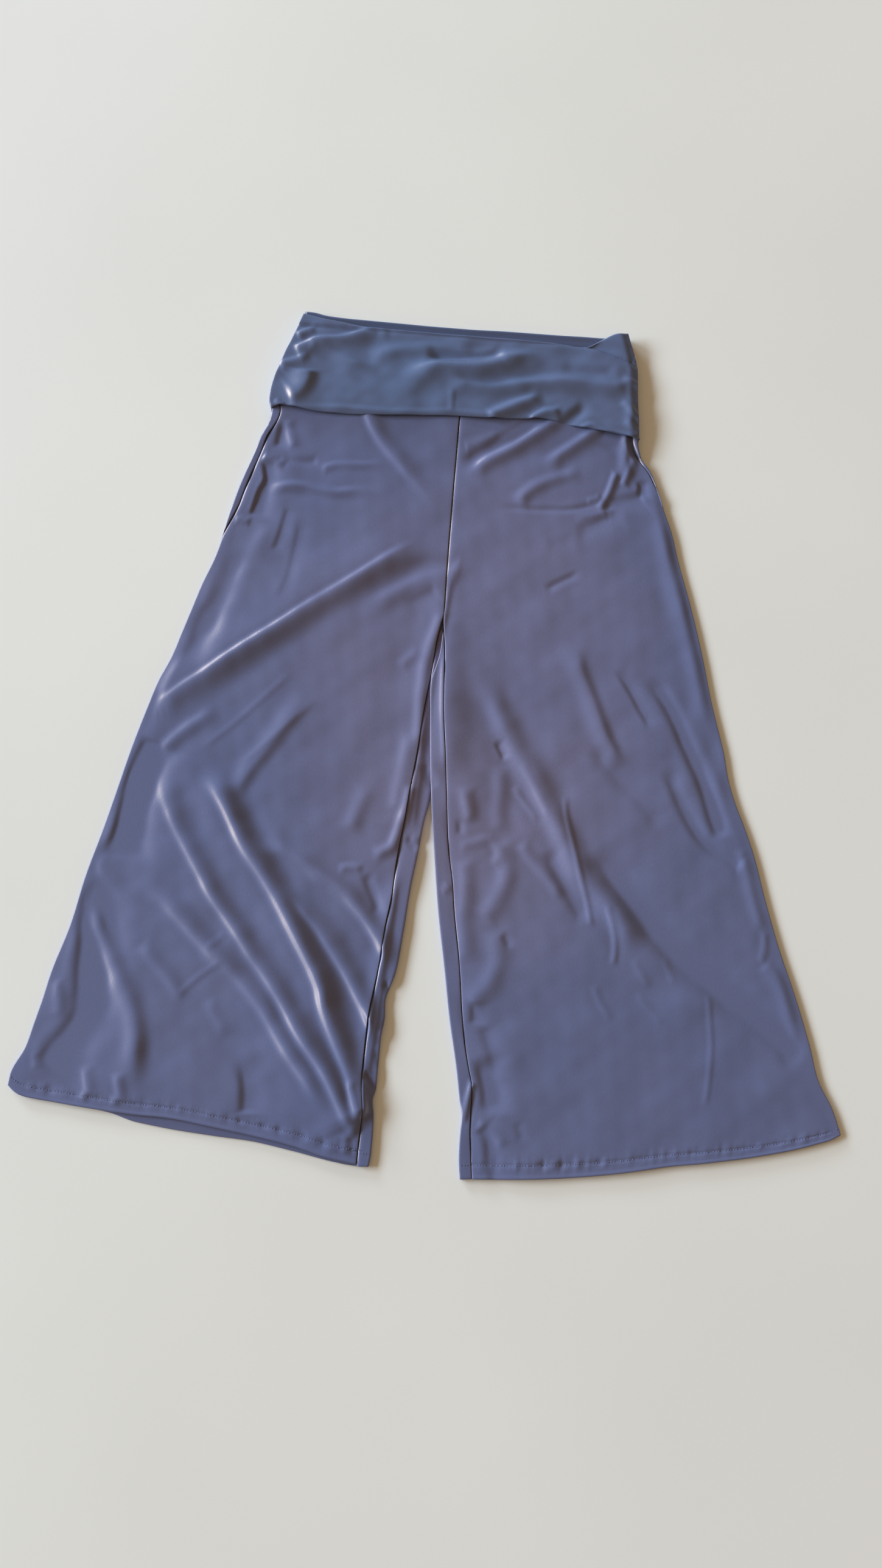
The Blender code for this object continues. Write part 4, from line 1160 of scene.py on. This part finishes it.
# %% Sizes of the waistband
BandSide = namedtuple("BandSide", "y left_x right_x")
BAND_SIDES = (
    BandSide(302, -216.5, 160.0),
    BandSide(310, -217.5, 161.0),
    BandSide(319, -220.5, 160.5),
    BandSide(332, -220.0, 159.5),
    BandSide(346, -217.5, 158.0),
    BandSide(360, -213.5, 156.8),
    BandSide(374, -209.5, 156.0),
    BandSide(388, -204.5, 154.5),
    BandSide(401, -200.5, 151.0),
    BandSide(414, -196.5, 146.5),
    BandSide(428, -192.5, 142.0),
)
BandEdge = namedtuple("BandEdge", "across top_front top_back flap_front flap_back")
BAND_EDGES = (
    BandEdge(0.00, 417.1, 422, 312, 308),
    BandEdge(0.03, 415.6, 421.5, 315, 306),
    BandEdge(0.06, 413.6, 419.5, 314, 305),
    BandEdge(0.12, 411.1, 418, 311, 304),
    BandEdge(0.20, 407.6, 417.5, 310.5, 304),
    BandEdge(0.30, 406.8, 417, 312.5, 304),
    BandEdge(0.40, 406.6, 416.5, 315.5, 304),
    BandEdge(0.50, 406.6, 416.5, 318, 304),
    BandEdge(0.62, 406.8, 417.5, 319, 304),
    BandEdge(0.74, 406.1, 417.8, 322.5, 304),
    BandEdge(0.80, 405.1, 418, 320, 304),
    BandEdge(0.84, 404.0, 418.3, 317.5, 304),
    BandEdge(0.86, 404.8, 418.5, 316.5, 304),
    BandEdge(0.90, 411.4, 418.5, 314.5, 304),
    BandEdge(0.93, 417.0, 418.8, 313.5, 304),
    BandEdge(0.96, 422.0, 421.0, 312, 305),
    BandEdge(1.00, 424.0, 423.0, 309.5, 307),
)
BAND_LEAN = 0.14  # its folded ends are this much narrower than half circles
INNER_SAG = 2.8  # how far the inside of the back lies below the front's top edge
EDGE_RISE = 3.0  # and how far its own top edge stands up
FACET = ((94, 404.0), (108, 402.4), (122, 398.6), (138, 393.4), (152, 388.5))
FACET_DROP = 5.0  # above this line the right corner's inside shows, this much lower
TOP_ROUND = (5.0, 1.8)  # below the top edge the flap rounds off over this length, by this much
FAR_END_SLOPE = (9.0, 2.8)  # the flap's right end is pressed down over this width, by this much
BACK_SHOWS = (362, 22, 1.6)  # the back half stands out on the left: y, width, by how much
BAND_CREASES = (
    # left end
    Crease((-204, 376, -194, 382, -183, 389, -168, 391.5, -158, 393, -148, 396, -138, 401, -129, 405,
        -118, 407, -104, 407), (2.4, 3.8, 3.0, 1.4), 4, 12, (6, 10)),
    Crease((-202, 392, -192, 399, -182, 402), 1.9, 3.6, 6, (3, 8)),
    Crease((-190, 384, -173, 380, -158, 374, -143, 368, -110, 358), 1.9, 4, 9, (8, 30)),
    Crease((-212, 360, -200, 365, -186, 372), 1.7, 4, 8, (0, 10)),
    Crease((-197, 360, -198, 346, -203, 335, -215, 327), 3.6, 20, 9, (4, 8)),
    Crease((-217, 319, -212, 316, -205, 314), 1.6, 3.6, 4, (2, 4)),
    # long waves across the front
    Crease((-96, 360, -72, 366, -51, 372, -24, 376, -5, 379, 10, 384, 30, 389, 60, 391),
        (3.4, 5.4, 5.4, 4.0, 2.2), 8, 12, (40, 40)),
    Crease((-122, 350, -90, 357, -60, 364, -30, 371, 0, 376, 30, 380), (1.6, 3.0, 3.4, 2.4),
        20, 15, (30, 30)),
    Crease((-70, 384, -40, 381, -12, 383, 14, 392), -2.8, 7, 10, (16, 14)),
    Crease((-48, 354, -24, 352, -2, 352, 17, 355, 44, 361, 84, 366, 111, 364, 148, 365),
        (3.2, 4.2, 4.4, 3.4, 2.4), 8, 11, (22, 20)),
    Crease((0, 320, 20, 331, 36, 339, 56, 348), 3.6, 7, 9, (8, 16)),
    Crease((44, 319, 54, 326, 64, 330, 78, 331), 2.6, 5, 7, (6, 10)),
    Crease((73, 312, 86, 326, 104, 344), -3.2, 7, 9, (0, 14)),
    Crease((96, 312, 108, 319, 122, 315, 140, 311, 159, 312), 1.8, 4, 4.5, (6, 4)),
    Crease((-36.5, 349, -36, 335, -35, 321), 0.6, 4, 2.5, (8, 4)),
    Crease((-206, 316, -188, 315, -158, 315, -120, 316, -80, 318, -40, 321, 20, 322), 1.2, 4, 4, (10, 20)),
    Crease((-130, 376, -96, 386, -60, 393, -20, 397), 1.6, 8, 10, (16, 16)),
    Crease((-150, 335, -110, 340, -70, 336), 0.8, 9, 10, (16, 16)),
    Crease((70, 383, 100, 378, 130, 380), -1.2, 8, 9, (14, 12)),
    Crease((-120, 404, -60, 405.5, 0, 405.5, 60, 405.5, 100, 404, 130, 399.5, 152, 392), 1.6,
        3.6, 9, (12, 8)),
    # right end
    Crease((146, 394, 147, 370, 147, 346, 146, 322), 1.1, 7, 7, (8, 8)),
    Crease((136, 373, 148, 370, 158, 364), 1.6, 4, 5, (8, 0)),
    Crease((136, 348, 147, 341, 158, 330), 1.8, 4, 5, (8, 0)),
    Crease((142, 327, 150, 322, 160, 315), 1.5, 4, 4, (6, 0)),
)
print(len(BAND_CREASES), "creases in the band's flap")

# %% Waistband halves
UP, OVER, DOWN = 14, 12, 56  # rows up the upstand, over the fold and down the flap
CORNER, MIDDLE = 14, 181  # columns round each folded end, and between them
BAND_WALL = 1.1
BAND_SEAM = 1.1  # the gap between the two halves at the side seams
BAND_TURNED = 3.6, 0.6  # width and radius of the flap's turned edge
BAND_RIPPLES = (0.3, 46, 41), (0.08, 17, 42)


def flap_relief(x, y, top, flap, right_x, creases):
    """How far the front flap stands off its ring: creases, the soft lower edge, the facet where
    the right corner's inside shows, the rounding below the top edge, and the sloping right end."""
    relief = crease_height(x, y, creases) + unevenness(x, y, BAND_RIPPLES)
    crest = np.minimum(smooth(x, *zip(*FACET)), top)
    above = y - crest
    sunk = ramp(above, 0, 1.8) * (1 - np.clip(above / 15, 0, 1.2)) * ramp(x, 94, 104)
    rounding = np.exp(-np.maximum(-above, 0) / TOP_ROUND[0]) * (1 - ramp(above, 0, 1.8))
    relief = relief - bell(y - flap, 5) - FACET_DROP * sunk - TOP_ROUND[1] * rounding
    return relief - FAR_END_SLOPE[1] * ramp(x, right_x - FAR_END_SLOPE[0], right_x)


def band_half(face, creases):
    """Half of the waistband: up the upstand from the waist seam, out and over the top fold, and
    down the flap, which ends in a soft folded edge. Each row is half of a flattened ring."""
    climb = np.concatenate([np.arange(UP) / UP, np.ones(OVER + DOWN + 1)])[:, None]
    turn = np.concatenate([np.zeros(UP), np.arange(OVER) / OVER, np.ones(DOWN + 1)])[:, None] * np.pi
    fall = np.concatenate([np.zeros(UP + OVER), np.arange(DOWN + 1) / DOWN])[:, None]
    radius = (INNER_RING + OUTER_RING) / 2 - TOP_FOLD * np.cos(turn)
    corner = np.arange(CORNER) / CORNER
    across = np.concatenate([corner * 0, np.arange(MIDDLE) / (MIDDLE - 1), corner * 0 + 1])[None, :]
    left = mix(BAND_SEAM / 2 / radius, np.pi / 2, corner)
    right = left[:, ::-1]
    between = np.ones((len(radius), MIDDLE))
    angle = np.hstack([left, between * np.pi / 2, right])
    outwards = np.hstack([-np.cos(left), between * 0, np.cos(right)])
    stops = [edge.across for edge in BAND_EDGES]
    top = smooth(across, stops, [getattr(edge, f"top_{face}") for edge in BAND_EDGES])
    flap = smooth(across, stops, [getattr(edge, f"flap_{face}") for edge in BAND_EDGES])
    spring = top - TOP_FOLD
    y = mix(WAIST_SEAM_Y + SEAM_GAP, spring, climb) + TOP_FOLD * np.sin(turn)
    y = y + (flap - spring) * fall
    side_y, left_x, right_x = zip(*BAND_SIDES)
    left_x = smooth(y, side_y, left_x) + OUTER_RING * BAND_LEAN
    right_x = smooth(y, side_y, right_x) - OUTER_RING * BAND_LEAN
    if face == "back":
        left_x = left_x - BACK_SHOWS[2] * bell(y - BACK_SHOWS[0], BACK_SHOWS[1])
    x = mix(left_x, right_x, across) + radius * outwards * BAND_LEAN
    z = BAND_MIDDLE + (1 if face == "front" else -1) * radius * np.sin(angle)
    if face == "front":
        on_flap = ramp(turn, np.pi * 0.45, np.pi) * ramp(np.sin(angle), 0.2, 1)
        z = z + on_flap * flap_relief(x, y, top, flap, right_x, creases)
    else:
        inner = ramp(np.sin(angle), 0.2, 1) * (0.5 + 0.5 * np.cos(turn)) * ramp(y, 350, 390)
        z = z + inner * mix(-INNER_SAG, EDGE_RISE, ramp(y, top - 7, top - 0.5))
        under = ramp(turn, np.pi * 0.6, np.pi) * ramp(np.sin(angle), 0.4, 1)
        z = z + under * np.clip(crease_height(x, y, HIDDEN_CREASES), 0, 1.2)
    return np.stack([x, y, z], axis=2), np.stack([x, y + 0 * z + 300 * climb], axis=2)


for face in ("front", "back"):
    name = f"waistband_{face}"
    points, uv = band_half(face, BAND_CREASES)
    points, uv, normal = facing_out(points, uv, grid_normals(points), flip=face == "back")
    points, uv = odd_grid(*turn_hem(points, uv, normal, *BAND_TURNED))
    pieces[name] = shell(name, points, uv, BAND_WALL, doubled_jersey)

# %% [markdown]
# ## What each piece is, and finish
#
# The table gives the solid that each piece stands for, the finish it takes, and its cut: the size
# of its flat pattern, its area and what it rests on. Each piece hangs from the root, and the solid
# that it stands for is hidden. The stitches ride along with the front panels that they hold.

Cut = namedtuple("Cut", "node slot flat area rests_on")
CUTS = {
    "leg_front_left": Cut("front_left", "jersey", (0.37, 0.78), 0.205, ["leg_back_left"]),
    "leg_front_right": Cut("front_right", "jersey", (0.37, 0.78), 0.212, ["leg_back_right"]),
    "leg_back_left": Cut("back_left", "jersey", (0.39, 0.78), 0.225, ["floor"]),
    "leg_back_right": Cut("back_right", "jersey", (0.39, 0.78), 0.227, ["floor"]),
    "waistband_front": Cut(
        "band_front", "doubled_jersey", (0.385, 0.19), None, ["leg_front_left", "leg_front_right"]
    ),
    "waistband_back": Cut("band_back", "doubled_jersey", (0.385, 0.20), None, ["floor"]),
}
for name, cut in CUTS.items():
    piece = pieces[name]
    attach(piece, "root")
    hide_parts(cut.node)
for side in ("left", "right"):
    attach(pieces[f"hem_stitches_{side}"], "root")
